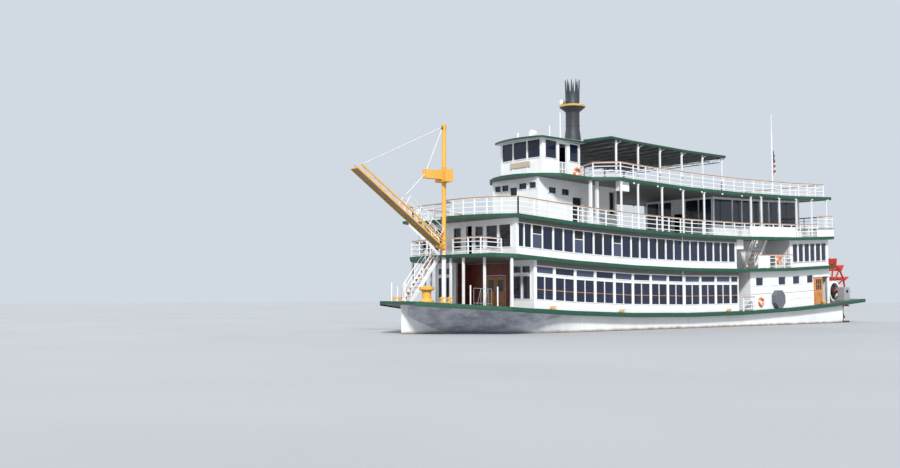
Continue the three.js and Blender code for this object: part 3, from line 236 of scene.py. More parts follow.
def wood(name, pale, dark, along="X", gloss=(0.35, 0.55)):
    n = Nodes(name)
    stretch = {"X": (0.06, 1, 1), "Y": (1, 0.06, 1), "Z": (1, 1, 0.06)}[along]
    grain = n.noise(26, 5, stretch=stretch, rough=0.7)
    colour = n.mix(n.ramp(grain, 0.36, 0.66), dark, pale)
    colour = n.mix(n.ramp(n.noise(2.0, 2), 0.45, 0.8, 0, 0.5), colour, scaled(dark, 0.55))
    n.bump(grain, 0.3)
    return n.finish(colour, gloss)


def metal(name, colour, metallic, rough, streak=0.3):
    n = Nodes(name)
    soot = n.noise(1.0, 5, stretch=(8, 8, 0.8), rough=0.7)
    sooted = n.mix(n.ramp(soot, 0.4, 0.75, 0, streak + 0.3), colour, scaled(colour, 0.4))
    n.bump(n.noise(30, 4), 0.15)
    return n.finish(sooted, rough, metallic)


def cloth(name, colour):
    n = Nodes(name)
    tone = n.mix(n.ramp(n.noise(14, 4), 0.35, 0.7), colour, scaled(colour, 0.6))
    weave = n.node("TexWave", {"Scale": 160, "Vector": n.coords})
    n.bump(weave.outputs["Fac"], 0.3, 0.001)
    n.put(n.shader.inputs["Sheen Weight"], 0.3)
    return n.finish(tone, (0.75, 0.9))


WHITE = paint("cabin_paint", (0.82, 0.83, 0.82), dirt_share=0.2)
RAIL_WHITE = paint("rail_paint", (0.84, 0.84, 0.83), dirt_share=0.35, bump=0.15)
# Near-black soffit colour: painted shade under the canopy.
SOFFIT_PAINTED_SHADE = paint("soffit_painted_shade", (0.05, 0.055, 0.06), dirt=(0.08, 0.08, 0.075))
HULL = hull_paint()
# Each deck's last colour is its soffit's painted shade.
MAIN_DECK = deck_finish("deck_paint", (0.1, 0.095, 0.085), (0.2, 0.195, 0.18))
UPPER_DECK = deck_finish("upper_deck_paint", (0.14, 0.145, 0.145), (0.17, 0.17, 0.16))
GREEN = paint("green_trim", TRIM_GREEN, dirt=(0.03, 0.05, 0.04), rough=(0.45, 0.65))
ROOF = paint("roof_paint", (0.45, 0.46, 0.46), rough=(0.5, 0.7))
GLASS = glass()
HANDRAIL = wood("handrail_wood", (0.5, 0.27, 0.12), (0.32, 0.15, 0.06), gloss=(0.3, 0.45))
TREAD = wood("tread_wood", (0.6, 0.36, 0.17), (0.32, 0.17, 0.08), along="Y")
DOOR_ORANGE = wood("door_wood", (0.68, 0.28, 0.07), (0.42, 0.14, 0.03), along="Z", gloss=(0.22, 0.38))
RECESS = wood("recess_wood", (0.3, 0.06, 0.03), (0.13, 0.025, 0.015), along="Z")
YELLOW = paint("yellow_paint", (0.78, 0.41, 0.07), dirt=(0.35, 0.18, 0.06), dirt_share=0.35)
PLANKS = wood("plank_wood", (0.36, 0.23, 0.08), (0.2, 0.12, 0.045), along="Y")
RED = paint("wheel_red", (0.48, 0.035, 0.015), dirt=(0.1, 0.03, 0.02), dirt_share=0.5, rough=(0.5, 0.75))
DARK = metal("dark_steel", (0.055, 0.06, 0.066), 0.35, (0.4, 0.62))
GREY = paint("grey_paint", (0.3, 0.31, 0.31), rough=(0.5, 0.7))
# Grey-brown band on the walls right under the decks: painted shadow of the deck edges.
SHADE = paint("painted_deck_shadow", (0.17, 0.155, 0.14), dirt=(0.25, 0.24, 0.22), rough=(0.5, 0.7))
SLATE = paint("slate_paint", (0.12, 0.13, 0.155), dirt=(0.2, 0.2, 0.2), rough=(0.5, 0.7))
GOLD = metal("gold_band", (0.8, 0.5, 0.12), 0.4, (0.3, 0.45), streak=0.1)
# Near-black sheets behind open windows and doorways: painted shade of the rooms inside.
INSIDE_SHADE = paint("painted_inside_shade", (0.012, 0.013, 0.015), dirt_share=0.0, rough=(0.6, 0.8))
OPEN_PANE = paint("open_pane", (0.05, 0.065, 0.11), dirt_share=0.0, rough=(0.12, 0.25))
BUOY_ORANGE = paint("buoy_orange", (0.85, 0.2, 0.04), dirt_share=0.1)
SIGN = paint("sign_board", (0.5, 0.42, 0.31), rough=(0.4, 0.6))
WIRE = metal("wire", (0.75, 0.75, 0.72), 0.3, (0.35, 0.5), streak=0.1)
LAMP = paint("lamp_white", (0.85, 0.83, 0.76), dirt_share=0.05, rough=(0.2, 0.3))
BLUE = cloth("flag_blue", (0.02, 0.035, 0.16))
FLAG_RED = cloth("flag_red", (0.42, 0.02, 0.025))
FLAG_WHITE = cloth("flag_white", (0.68, 0.68, 0.66))

# Slot names that make() looks up for a piece that leads with a finish, where the piece doesn't name its
# own; the piece is not given it
SLOTS = {
    WHITE: "cabin_paint", SIGN: "cabin_paint", LAMP: "cabin_paint", RAIL_WHITE: "rail_paint",
    HANDRAIL: "rail_paint", HULL: "hull_paint", GREEN: "deck_paint", ROOF: "roof_paint",
    GLASS: "window_glass", INSIDE_SHADE: "window_glass", DOOR_ORANGE: "orange_door", BUOY_ORANGE: "orange_door",
    RECESS: "wheel_red", YELLOW: "yellow_paint", PLANKS: "yellow_paint", DARK: "dark_steel",
    GREY: "grey_paint", SHADE: "grey_paint", FLAG_RED: "flag_cloth"}


# Mesh building
class Shell:
    """Gathers faces in real metres and makes one object of them in the row frame."""

    def __init__(self):
        self.points, self.faces, self.finishes = [], [], []

    def add(self, points, faces, finish=0, sheer=True):
        base = len(self.points)
        self.points += [(x, y, z + (rise(x) if sheer else 0)) for x, y, z in points]
        self.faces += [[base + i for i in face] for face in faces]
        self.finishes += [finish] * len(faces)

    def loft(self, rings, finish=0, sheer=True, closed=False):
        count = len(rings[0])
        faces = []
        for r in range(len(rings) if closed else len(rings) - 1):
            a, b = r * count, (r + 1) % len(rings) * count
            faces += [[a + i, a + (i + 1) % count, b + (i + 1) % count, b + i] for i in range(count)]
        if not closed:
            faces += [list(range(count)), [len(rings) * count - 1 - i for i in range(count)]]
        self.add([p for ring in rings for p in ring], faces, finish, sheer)

    def box(self, x0, x1, y0, y1, z0, z1, finish=0, sheer=True):
        stations = [x0, *[k for k in KNUCKLES if x0 < k < x1 and sheer], x1]
        self.loft([[(x, y0, z0), (x, y1, z0), (x, y1, z1), (x, y0, z1)] for x in stations], finish, sheer)

    def side_box(self, side, x0, x1, inner, outer, z0, z1, finish=0):
        self.box(x0, x1, *across(side, inner, outer), z0, z1, finish)

    def board(self, side, x0, x1, thick, z0, z1, finish=0):
        """A board laid on the outside of a cabin's side wall."""
        self.side_box(side, x0, x1, CABIN_HALF, CABIN_HALF + thick, z0, z1, finish)

    def post(self, x, y, half, z0, z1):
        self.box(x - half, x + half, y - half, y + half, z0, z1)

    def block(self, place, u0, u1, v0, v1, w0, w1, finish=0):
        """A box in a piece's own axes, which place() turns into real metres."""
        section = ((v0, w0), (v1, w0), (v1, w1), (v0, w1))
        self.loft([[place(u, v, w) for v, w in section] for u in (u0, u1)], finish, sheer=False)

    def sweep(self, path, width, z0, z1):
        """A rectangular bar along a plan path, mitred at its corners and following the sheer."""
        path = split_at_knuckles(path)
        legs = [(Vector(q) - Vector(p)).normalized() for p, q in zip(path, path[1:])]
        rings = []
        for (x, y), a, b in zip(path, [legs[0], *legs], [*legs, legs[-1]]):
            along = (a + b).normalized()
            out = Vector((-along.y, along.x)) * (width / 2 / max(0.4, along.dot(b)))
            rings.append([(x - out.x, y - out.y, z0), (x + out.x, y + out.y, z0),
                          (x + out.x, y + out.y, z1), (x - out.x, y - out.y, z1)])
        self.loft(rings)

    def tube(self, points, radius, sides=8, sheer=False, radii=None):
        points = [Vector(p) for p in points]
        ends = zip([points[0], *points], [*points[1:], points[-1]])
        ways = [(after - before).normalized() for before, after in ends]
        out = ways[0].orthogonal().normalized()
        rings = []
        for point, way, r in zip(points, ways, radii or [radius] * len(points)):
            out = (out - way * out.dot(way)).normalized()
            other = way.cross(out)
            rings.append([tuple(point + (out * math.cos(t) + other * math.sin(t)) * r)
                          for t in turns(sides)])
        self.loft(rings, sheer=sheer)

    def pipe(self, x, y, z0, z1, radius, sides=8):
        """An upright pipe."""
        self.tube([(x, y, z0), (x, y, z1)], radius, sides)

    def spun(self, profile, centre, sides=32, axis="Z", finish=0):
        """A turned piece: a profile of (radius, height) along an axis, closed at radius 0."""
        rings = []
        for r, h in profile:
            ring = []
            for k in range(sides):
                t = 2 * math.pi * (k + 0.5) / sides
                u, v = max(r, 0.0005) * math.cos(t), max(r, 0.0005) * math.sin(t)
                place = {"Z": (u, v, h), "Y": (u, h, v), "X": (h, u, v)}[axis]
                ring.append(tuple(c + p for c, p in zip(centre, place)))
            rings.append(ring)
        self.loft(rings, finish, sheer=False)

    def buoy(self, centre, radius=0.29, tube=0.075, count=28, sides=10):
        """A lifebuoy that faces sideways, with every seventh part in finish 1."""
        cx, cy, cz = centre
        rings = []
        for a in turns(count):
            ring = []
            for b in turns(sides):
                r = radius + tube * math.cos(b)
                ring.append((cx + r * math.cos(a), cy + tube * math.sin(b), cz + r * math.sin(a)))
            rings.append(ring)
        start = len(self.faces)
        self.loft(rings, sheer=False, closed=True)
        for i in range(start, start + count * sides, 7 * sides):
            self.finishes[i:i + sides] = [1] * sides

    def make(self, name, finishes, body="boat", slot=None, replaces=(), smooth=30, bevel=0.0):
        """Turns what was gathered into a piece that rides on a body, if it names one."""
        finishes = finishes if isinstance(finishes, list) else [finishes]
        mesh = bpy.data.meshes.new(name)
        mesh.from_pydata([at(*p) for p in self.points], [], self.faces)
        for finish in finishes:
            mesh.materials.append(finish)
        mesh.polygons.foreach_set("material_index", self.finishes)
        bm = bmesh.new()
        bm.from_mesh(mesh)
        bmesh.ops.recalc_face_normals(bm, faces=bm.faces)
        for face in bm.faces:
            face.smooth = True
        for edge in bm.edges:
            edge.smooth = edge.calc_face_angle(math.pi) < math.radians(smooth)
        bm.to_mesh(mesh)
        bm.free()
        piece = bpy.data.objects.new(name, mesh)
        bpy.context.scene.collection.objects.link(piece)
        if bevel:
            modifier = piece.modifiers.new("bevel", "BEVEL")
            modifier.width = bevel * SCALE
            modifier.segments = 2
            modifier.limit_method = "ANGLE"
        if body:
            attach(piece, body)
        if replaces:
            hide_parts(*([replaces] if isinstance(replaces, str) else replaces))
        slot = slot or SLOTS.get(finishes[0])
        return piece


def shells(count):
    return [Shell() for _ in range(count)]


def split_at_knuckles(path):
    result = []
    for (x0, y0), (x1, y1) in zip(path, path[1:]):
        result.append((x0, y0))
        cuts = [k for k in KNUCKLES if min(x0, x1) + 0.01 < k < max(x0, x1) - 0.01]
        for k in sorted(cuts, reverse=x1 < x0):
            result.append((k, y0 + (y1 - y0) * (k - x0) / (x1 - x0)))
    return result + [tuple(path[-1])]


def spaced(start, pitch, count):
    """Evenly spaced positions from a start."""
    return [start + n * pitch for n in range(count)]


def turns(count):
    """Angles evenly round a full turn."""
    return [2 * math.pi * n / count for n in range(count)]


def across(side, y0, y1):
    """Two distances from the centre plane as y values in order, on one side of it."""
    return sorted((side * y0, side * y1))


def along_path(path, pitch):
    """Plan points about pitch apart along each leg of a path, with the legs' ends."""
    spots = []
    for (x0, y0), (x1, y1) in zip(path, path[1:]):
        count = max(1, round(math.hypot(x1 - x0, y1 - y0) / pitch))
        spots += [(x0 + (x1 - x0) * n / count, y0 + (y1 - y0) * n / count) for n in range(count)]
    return spots + [path[-1]]


# Hull
# Columns: x, bottom z, knuckle z, half breadth at the bottom, at the knuckle and at the deck
HULL_SECTIONS = [
    (-16.9, -DRAFT, 0.4, 4.6, 4.8, 4.8), (13, -DRAFT, 1.0, 4.6, 4.8, 4.8),
    (16, -DRAFT, 0.91, 4.35, 4.75, 4.85), (17.5, -DRAFT, 0.75, 3.9, 4.5, 4.85),
    (19, -DRAFT, 0.5, 3.1, 3.9, 4.65), (20.5, -0.98, 0.15, 1.8, 2.5, 4.0),
    (21.5, -0.93, 0.02, 1.05, 1.6, 3.3), (22.4, -0.85, 0.12, 0.55, 0.95, 2.6),
    (24.1, -0.6, 0.77, 0.12, 0.4, 1.3), (25.05, -0.3, 1.34, 0.03, 0.06, 0.12)]
# The beams beside the wheel: x and bottom z of their ends, then their inner and outer y
BEAM_ENDS = ((-18.9, -0.6), (-16.9, -DRAFT))
BEAM_Y = (3.85, 4.6, 4.8)
STRAKE_Y = 5.18


def eased_slope(x0, x1, a, b, c, step):
    """A curve's slope at b from its neighbours a and c, level where b is a turning point."""
    return 0 if (b - a) * (c - b) <= 0 else (c - a) / (x1 - x0) * step


def hull_numbers(x):
    """A section's heights and half breadths at a station, eased between the table's rows."""
    i = max(1, next(n for n, row in enumerate(HULL_SECTIONS) if row[0] >= x - 1e-6))
    last = len(HULL_SECTIONS) - 1
    before, start, end, after = (HULL_SECTIONS[n] for n in (max(0, i - 2), i - 1, i, min(last, i + 1)))
    step = end[0] - start[0]
    t = (x - start[0]) / step
    h = 2 * t ** 3 - 3 * t ** 2 + 1
    result = []
    for a, b, c, d in list(zip(before, start, end, after))[1:]:
        m0 = c - b if before is start else eased_slope(before[0], end[0], a, b, c, step)
        m1 = c - b if after is end else eased_slope(start[0], after[0], b, c, d, step)
        result.append(h * b + (t ** 3 - 2 * t ** 2 + t) * m0 + (1 - h) * c + (t ** 3 - t ** 2) * m1)
    return result


def build_hull():
    shell, trim = shells(2)
    aft, fore = HULL_SECTIONS[0][0], HULL_SECTIONS[-1][0]
    coarse, fine = spaced(-16, 2, 14), spaced(12, 0.4, 33)
    rings = []
    for x in sorted({aft, fore, *coarse, *fine, *[k for k in KNUCKLES if aft < k < fore]}):
        low, fold, bottom, knuckle, deck = hull_numbers(x)
        top = UNDER_MAIN + rise(x)
        ring = [(bottom, low), (knuckle, fold)]
        for t in (0.33, 0.67, 1.0):
            ring.append((knuckle + (deck - knuckle) * t ** 1.2, fold + (top - fold) * t))
        rings.append([(x, y, z) for y, z in ring] + [(x, -y, z) for y, z in reversed(ring)])
    shell.loft(rings, sheer=False)
    inner, foot, outer = BEAM_Y
    for side, _ in SIDES:
        rings = []
        for x, low in BEAM_ENDS:
            top = TRIM_MAIN + rise(x)
            section = ((inner, low), (foot, low), (outer, 0.4), (outer, top), (inner, top))
            rings.append([(x, side * y, z) for y, z in section])
        shell.loft(rings, sheer=False)
        edge = [(25.36, side * 1.76), (20.8, side * STRAKE_Y), (-22.15, side * STRAKE_Y)]
        trim.sweep(edge, 0.06, MAIN - 0.28, MAIN - 0.2)
    shell.make("hull_shell", HULL, replaces="hull", smooth=9)
    trim.make("guard_strake", GREEN)


# Windows
# How far a pane's back and face lie behind the outside of its wall
PANE_BACK, PANE_FACE = 0.07, 0.055


def row_of(x0, x1, count, width):
    """Evenly spaced openings of one width between two ends."""
    pitch = (x1 - x0) / count
    middles = [x0 + (n + 0.5) * pitch for n in range(count)]
    return [(middle - width / 2, middle + width / 2) for middle in middles]


def side_frame(shell, side, wall, x0, x1, z0, z1, wide=0.05, sill=0.04):
    """A raised frame round an opening in a side wall, with a sill."""
    back, face = wall - 0.03, wall + 0.03
    shell.side_box(side, x0 - wide, x0, back, face, z0 - wide, z1 + wide)
    shell.side_box(side, x1, x1 + wide, back, face, z0 - wide, z1 + wide)
    shell.side_box(side, x0, x1, back, face, z1, z1 + wide)
    shell.side_box(side, x0 - wide, x1 + wide, back, face + sill, z0 - wide, z0)


def end_frame(shell, x, y0, y1, z0, z1, wide=0.05):
    """A raised frame round an opening in an end wall."""
    low, high = z0 - wide, z1 + wide
    for edges in ((y0 - wide, y0, low, high), (y1, y1 + wide, low, high), (y0, y1, z1, high),
                  (y0, y1, low, z0)):
        shell.box(x - 0.03, x + 0.03, *edges)


def windowed_side(walls, panes, side, ends, low, high, columns, rows):
    """A cabin's side wall with panes set back in it, in columns (x) and rows (sill and head)."""
    wall = (CABIN_HALF - WALL, CABIN_HALF)
    edges = [ends[0], *[x for pair in columns for x in pair], ends[1]]
    z = low
    for row, (sill, head) in enumerate(rows):
        walls.side_box(side, *ends, *wall, z, sill)
        walls.board(side, *ends, 0.03, sill - 0.05, sill)
        for x0, x1 in zip(edges[::2], edges[1::2]):
            walls.side_box(side, x0, x1, *wall, sill, head)
        for n, (x0, x1) in enumerate(columns):
            panes.side_box(side, x0, x1, CABIN_HALF - PANE_BACK, CABIN_HALF - PANE_FACE, sill, head,
                           row * (n % 2))
        z = head
    walls.side_box(side, *ends, *wall, z, high)


def pierced(place, ends, low, high, openings):
    """A wall between two ends, drawn by place, round openings of start, end, sill and head."""
    start = ends[0]
    for a, b, sill, head in sorted(openings):
        place(start, a, low, high)
        if sill > low:
            place(a, b, low, sill)
        place(a, b, head, high)
        start = b
    place(start, ends[1], low, high)


def raised(openings, deck):
    """Openings whose heights are given above a deck."""
    return [(a, b, deck + sill, deck + head) for a, b, sill, head in openings]


# Main cabin
CABIN = {"fore": 18.5, "aft": -3.4, "recess": 17.3, "door_half": 0.95}
CABIN_BAYS = [(-3.29, -2.43), *row_of(-2.34, 16.69, 10, 1.73), (16.78, 18.28)]
CABIN_ROWS = [(MAIN + 0.6, MAIN + 2.0), (MAIN + 2.22, MAIN + 2.62)]
LINING = {"boards": 9, "pitch": 0.19, "wide": 0.18, "side": 2.72, "low": MAIN + 0.02, "high": SECOND - 0.23}


def build_main_cabin():
    walls, panes, frames, bars, lining = shells(5)
    fore, aft, recess = CABIN["fore"], CABIN["aft"], CABIN["recess"]
    face, low, high = recess + 0.03, LINING["low"], LINING["high"]
    for side, _ in SIDES:
        windowed_side(walls, panes, side, (aft, fore), MAIN + GAP, UNDER_SECOND, CABIN_BAYS, CABIN_ROWS)
        for x0, x1 in CABIN_BAYS[1:]:
            middle = (x0 + x1) / 2
            frames.side_box(side, middle - 0.03, middle + 0.03, 4.69, 4.74, *CABIN_ROWS[0])
            frames.board(side, x1 - 0.02, x1 + 0.11, 0.025, MAIN + 0.55, SECOND - 0.33)
            frames.board(side, x0, x1, 0.015, MAIN + 0.12, MAIN + 0.45)
        bars.side_box(side, aft + 0.11, fore - 0.2, 4.697, 4.71, MAIN + 1.18, MAIN + 1.23)
        frames.side_box(side, fore - 0.22, fore + 0.02, 4.7, 4.8, MAIN + 0.01, TRIM_SECOND)
        frames.board(side, aft, fore, 0.04, MAIN + 0.02, MAIN + 0.1)
        for y0, y1 in row_of(2.9, 4.5, 2, 0.66):
            for row, (a, b) in zip(CABIN_ROWS, ((-PANE_BACK, -PANE_FACE), (GAP, 0.012))):
                end_frame(frames, fore, *across(side, y0, y1), *row)
                panes.box(fore + a, fore + b, *across(side, y0, y1), *row)
        for y0 in spaced(CABIN["door_half"] + 0.06, LINING["pitch"], LINING["boards"]):
            y1 = min(y0 + LINING["wide"], LINING["side"])
            lining.side_box(side, recess + 0.002, face, y0, y1, low, high)
        lining.side_box(side, face, fore - 0.14, 2.6, 2.618, low, high)
    lining.box(recess + 0.002, face, -1.0, 1.0, MAIN + 2.2, high)
    walls.make("main_cabin_side_walls", WHITE,
               replaces=("main_cabin_port_wall", "main_cabin_starboard_wall"))
    panes.make("main_cabin_panes", [GLASS, OPEN_PANE], replaces="main_cabin_glass")
    frames.make("main_cabin_frames", WHITE)
    bars.make("main_cabin_window_bars", HANDRAIL, slot="orange_door")
    lining.make("recess_lining", RECESS)


ENTRANCE_DOOR = {"panels": ((MAIN + 0.17, MAIN + 0.55), (MAIN + 0.65, MAIN + 1.05)),
                 "panel_y": (0.16, 0.78), "glass": (MAIN + 1.13, MAIN + 1.92), "glass_y": (0.18, 0.73),
                 "knob": (0.09, MAIN + 1.05)}
KNOB = [(0, 0), (0.03, 0.005), (0.03, 0.03), (0.015, 0.045), (0.035, 0.06), (0.035, 0.08), (0, 0.09)]


def build_entrance_doors():
    leaf = CABIN["recess"] - 0.06
    knob_y, knob_z = ENTRANCE_DOOR["knob"]
    for side, name in SIDES:
        door, pane, knob = shells(3)
        body = f"entrance_door_{name}"
        for panel in ENTRANCE_DOOR["panels"]:
            for back in (leaf + 0.03, leaf - 0.045):
                door.side_box(side, back, back + 0.015, *ENTRANCE_DOOR["panel_y"], *panel)
        pane.side_box(side, leaf - 0.01, leaf + 0.01, *ENTRANCE_DOOR["glass_y"], *ENTRANCE_DOOR["glass"])
        knob.spun(KNOB, (leaf + 0.03, side * knob_y, knob_z + rise(leaf)), 12, "X")
        door.make(f"{body}_panels", DOOR_ORANGE, body)
        pane.make(f"{body}_glass", GLASS, body)
        knob.make(f"{body}_knob", GOLD, body)


# Second cabin
SALON = {"fore": 20.0, "aft": -3.2, "sill": SECOND + 0.53, "head": SECOND + 1.95, "lowered": 0.55}
SALON_PANES = [*row_of(-3.05, 18.66, 23, 0.84), *row_of(18.66, 19.94, 2, 0.54)]
LOWERED_PANES = (22, 18, 14)
# The front wall's windows and doorway. Columns: starboard y, port y, low and high above the deck
SALON_FRONT = [(a, b, 0.5, 1.87) for a, b in ((-4.28, -3.29), (-3.09, -2.11), (-1.05, -0.34), (1.06, 1.78),
                                              (2.11, 3.09), (3.29, 4.28))]
SALON_DOOR = (0.18, 0.74, 0.03, 1.95)
STANCHION = {"x": 3.6, "y": 4.8, "radius": 0.04}


def build_second_cabin():
    walls, panes, frames, dark, front = shells(5)
    fore, aft, sill, head = (SALON[key] for key in ("fore", "aft", "sill", "head"))
    middle = head - SALON["lowered"]
    for side, _ in SIDES:
        windowed_side(walls, panes, side, (aft, fore), SECOND + GAP, UNDER_THIRD, SALON_PANES,
                      [(sill, head)])
        for n, (x0, x1) in enumerate(SALON_PANES):
            if n % 2:
                frames.board(side, x0 - 0.12, x0 + 0.02, 0.02, sill, head)
            if n in LOWERED_PANES:
                # Painted shade: a near-black sheet fills the opening above each lowered pane.
                dark.side_box(side, x0, x1, 4.697, 4.71, middle, head)
                dark.side_box(side, x0, x1, 4.7, 4.715, sill, middle, 1)
                frames.side_box(side, x0, x1, 4.7, 4.73, middle - 0.02, middle + 0.02)
        frames.board(side, aft, fore, 0.035, SECOND + 0.01, SECOND + 0.09)
        frames.side_box(side, fore - 0.2, fore + 0.02, 4.68, 4.79, SECOND + 0.01, TRIM_THIRD)
        frames.side_box(side, -4.1, aft - 0.02, 4.65, 4.78, SECOND + 1.5, TRIM_THIRD)
        for low, high in ((MAIN + 0.1, TRIM_SECOND), (SECOND + 0.01, TRIM_THIRD)):
            frames.pipe(STANCHION["x"], side * STANCHION["y"], low, high, STANCHION["radius"])
    openings = raised([*SALON_FRONT, SALON_DOOR], SECOND)
    for opening in openings:
        end_frame(frames, fore, *opening)
    for window in openings[:-1]:
        panes.box(fore - PANE_BACK, fore - PANE_FACE, *window)
    half = CABIN_HALF - WALL
    pierced(lambda *span: front.box(fore - WALL, fore, *span), (-half, half), SECOND + GAP, UNDER_THIRD,
            openings)
    front.make("second_cabin_front", WHITE, replaces="second_cabin_front_wall")
    walls.make("second_cabin_side_walls", WHITE,
               replaces=("second_cabin_port_wall", "second_cabin_starboard_wall"))
    panes.make("second_cabin_panes", [GLASS, OPEN_PANE], replaces="second_cabin_glass")
    frames.make("second_cabin_frames", WHITE)
    dark.make("second_cabin_lowered_panes_and_shade", [INSIDE_SHADE, OPEN_PANE])


# Aft house on the main deck and aft cabin on the second deck
AFT_CABIN = {"step": -10.7, "aft": -16.8}
AFT_HOUSE = {"fore": -5.0, "aft": -16.85, "door": (-16.6, -15.5), "door_top": MAIN + 2.3}
ENGINE_ROW = (MAIN + 1.87, MAIN + 2.48)
ENGINE_WINDOWS = [(-14.2, -13.28), (-12.11, -11.12), (-10.0, -8.97), (-6.75, -5.77)]
ENGINE_DOOR = {"aft": -15.45, "fore": -14.47, "panel": 0.45, "panel_y": (4.82, 4.84),
               "panel_z": (MAIN + 0.2, MAIN + 1.05), "bars": (-15.42, -14.52, -15.1, -14.8),
               "bar_z": (MAIN + 1.2, MAIN + 2.15), "rails": (MAIN + 1.22, MAIN + 1.66, MAIN + 2.1),
               "frame_y": (4.755, 4.835), "glass": (-15.4, -14.5, 4.785, 4.8, MAIN + 1.25, MAIN + 2.1)}


def build_aft_cabins():
    walls, panes, frames = shells(3)
    low, high, half = MAIN + GAP, UNDER_SECOND, CABIN_HALF - WALL
    fore, aft, door_top = AFT_HOUSE["fore"], AFT_HOUSE["aft"], AFT_HOUSE["door_top"]
    door_aft, door_fore = AFT_HOUSE["door"]
    stern, step = AFT_CABIN["aft"], AFT_CABIN["step"]
    for side, _ in SIDES:
        windowed_side(walls, panes, side, (door_fore, fore), low, high, ENGINE_WINDOWS, [ENGINE_ROW])
        walls.side_box(side, aft, door_aft, half, CABIN_HALF, low, high)
        walls.side_box(side, door_aft, door_fore, half, CABIN_HALF, door_top, high)
        walls.board(side, aft + 0.1, -14.2, 0.1, door_top + GAP, door_top + 0.1)
        walls.side_box(side, fore - WALL, fore, 0.6, half, low, high)
        for x0, x1 in row_of(-16.45, -11.05, 6, 0.72):
            side_frame(frames, side, CABIN_HALF, x0, x1, SECOND + 0.45, SECOND + 1.9, wide=0.04)
        for y0, y1 in row_of(0.6, 4.4, 3, 0.8):
            end_frame(frames, stern, *across(side, y0, y1), SECOND + 0.6, SECOND + 1.8)
        frames.board(side, -14.3, fore, 0.015, MAIN + 1.2, MAIN + 1.235, 1)
        frames.board(side, stern, step, 0.035, SECOND + 0.01, SECOND + 0.09)
        frames.side_box(side, step - 0.02, step + 0.05, 4.6, 4.8, SECOND + 0.01, TRIM_THIRD)
    walls.box(aft, aft + WALL, -half, half, low, high)
    walls.box(fore - WALL, fore, -0.6, 0.6, MAIN + 2.1, high)
    walls.make("aft_house_shell", WHITE, replaces="aft_house_walls")
    panes.make("aft_house_panes", GLASS, replaces=("aft_house_port_glass", "aft_house_starboard_glass"))
    frames.make("aft_cabin_frames", [WHITE, GREY])


def build_engine_room_doors():
    aft, fore, wide, frame_y = (ENGINE_DOOR[key] for key in ("aft", "fore", "panel", "frame_y"))
    for side, name in SIDES:
        door, pane = shells(2)
        body = f"engine_room_door_{name}"
        for x in ENGINE_DOOR["bars"]:
            door.side_box(side, x, x + 0.03, *frame_y, *ENGINE_DOOR["bar_z"])
        for z in ENGINE_DOOR["rails"]:
            door.side_box(side, aft + 0.03, fore - 0.02, *frame_y, z, z + 0.03)
        for x in (aft, fore - wide):
            door.side_box(side, x, x + wide, *ENGINE_DOOR["panel_y"], *ENGINE_DOOR["panel_z"])
        pane.side_box(side, *ENGINE_DOOR["glass"])
        door.make(f"{body}_panels", DOOR_ORANGE, body)
        pane.make(f"{body}_glass", GLASS, body)


# Houses on the third deck. Openings: start, end, low and high above the deck
FRONT_HOUSE = {"fore": 15.5, "aft": 7.6, "half": 2.17}
FRONT_HOUSE_WINDOWS = [(13.83, 14.49, 2.16, 2.56), (12.57, 13.23, 2.16, 2.56)]
FRONT_HOUSE_DOORWAYS = [(11.3, 12.2, 0.03, 2.1), (7.85, 8.4, 1.15, 2.8)]
FRONT_HOUSE_END = [(-1.95, -1.39, 2.4, 2.8), (-1.23, -0.62, 2.4, 2.8), (-0.42, 0.22, 2.04, 2.58),
                   (0.43, 1.13, 2.4, 2.8), (1.38, 2.0, 2.4, 2.8)]
REAR_HOUSE = {"fore": -2.5, "aft": -15.0, "half": 3.2, "row": (THIRD + 0.9, THIRD + 2.98)}
REAR_GLAZING = [(-14.27, -12.08), (-11.59, -10.34), (-10.14, -9.39), (-8.83, -7.91), (-7.47, -6.45),
                (-6.28, -5.14), (-4.96, -2.66)]


def build_front_house():
    walls, panes = shells(2)
    fore, aft, half = FRONT_HOUSE["fore"], FRONT_HOUSE["aft"], FRONT_HOUSE["half"]
    low, high, inner = THIRD + GAP, UNDER_FOURTH, half - WALL
    windows, doorways, end = (raised(openings, THIRD) for openings in
                              (FRONT_HOUSE_WINDOWS, FRONT_HOUSE_DOORWAYS, FRONT_HOUSE_END))
    for side, _ in SIDES:
        pierced(lambda x0, x1, z0, z1: walls.side_box(side, x0, x1, inner, half, z0, z1), (aft, fore), low,
                high, windows + doorways)
        for x0, x1, sill, head in windows:
            panes.side_box(side, x0, x1, half - PANE_BACK, half - PANE_FACE, sill, head)
    pierced(lambda *span: walls.box(fore - WALL, fore, *span), (-inner, inner), low, high, end)
    walls.box(aft, aft + WALL, -inner, inner, low, high)
    for opening in end:
        panes.box(fore - PANE_BACK, fore - PANE_FACE, *opening)
    walls.make("front_house_shell", WHITE, replaces="third_front_house_walls")
    panes.make("front_house_panes", GLASS, replaces="third_front_house_glass")


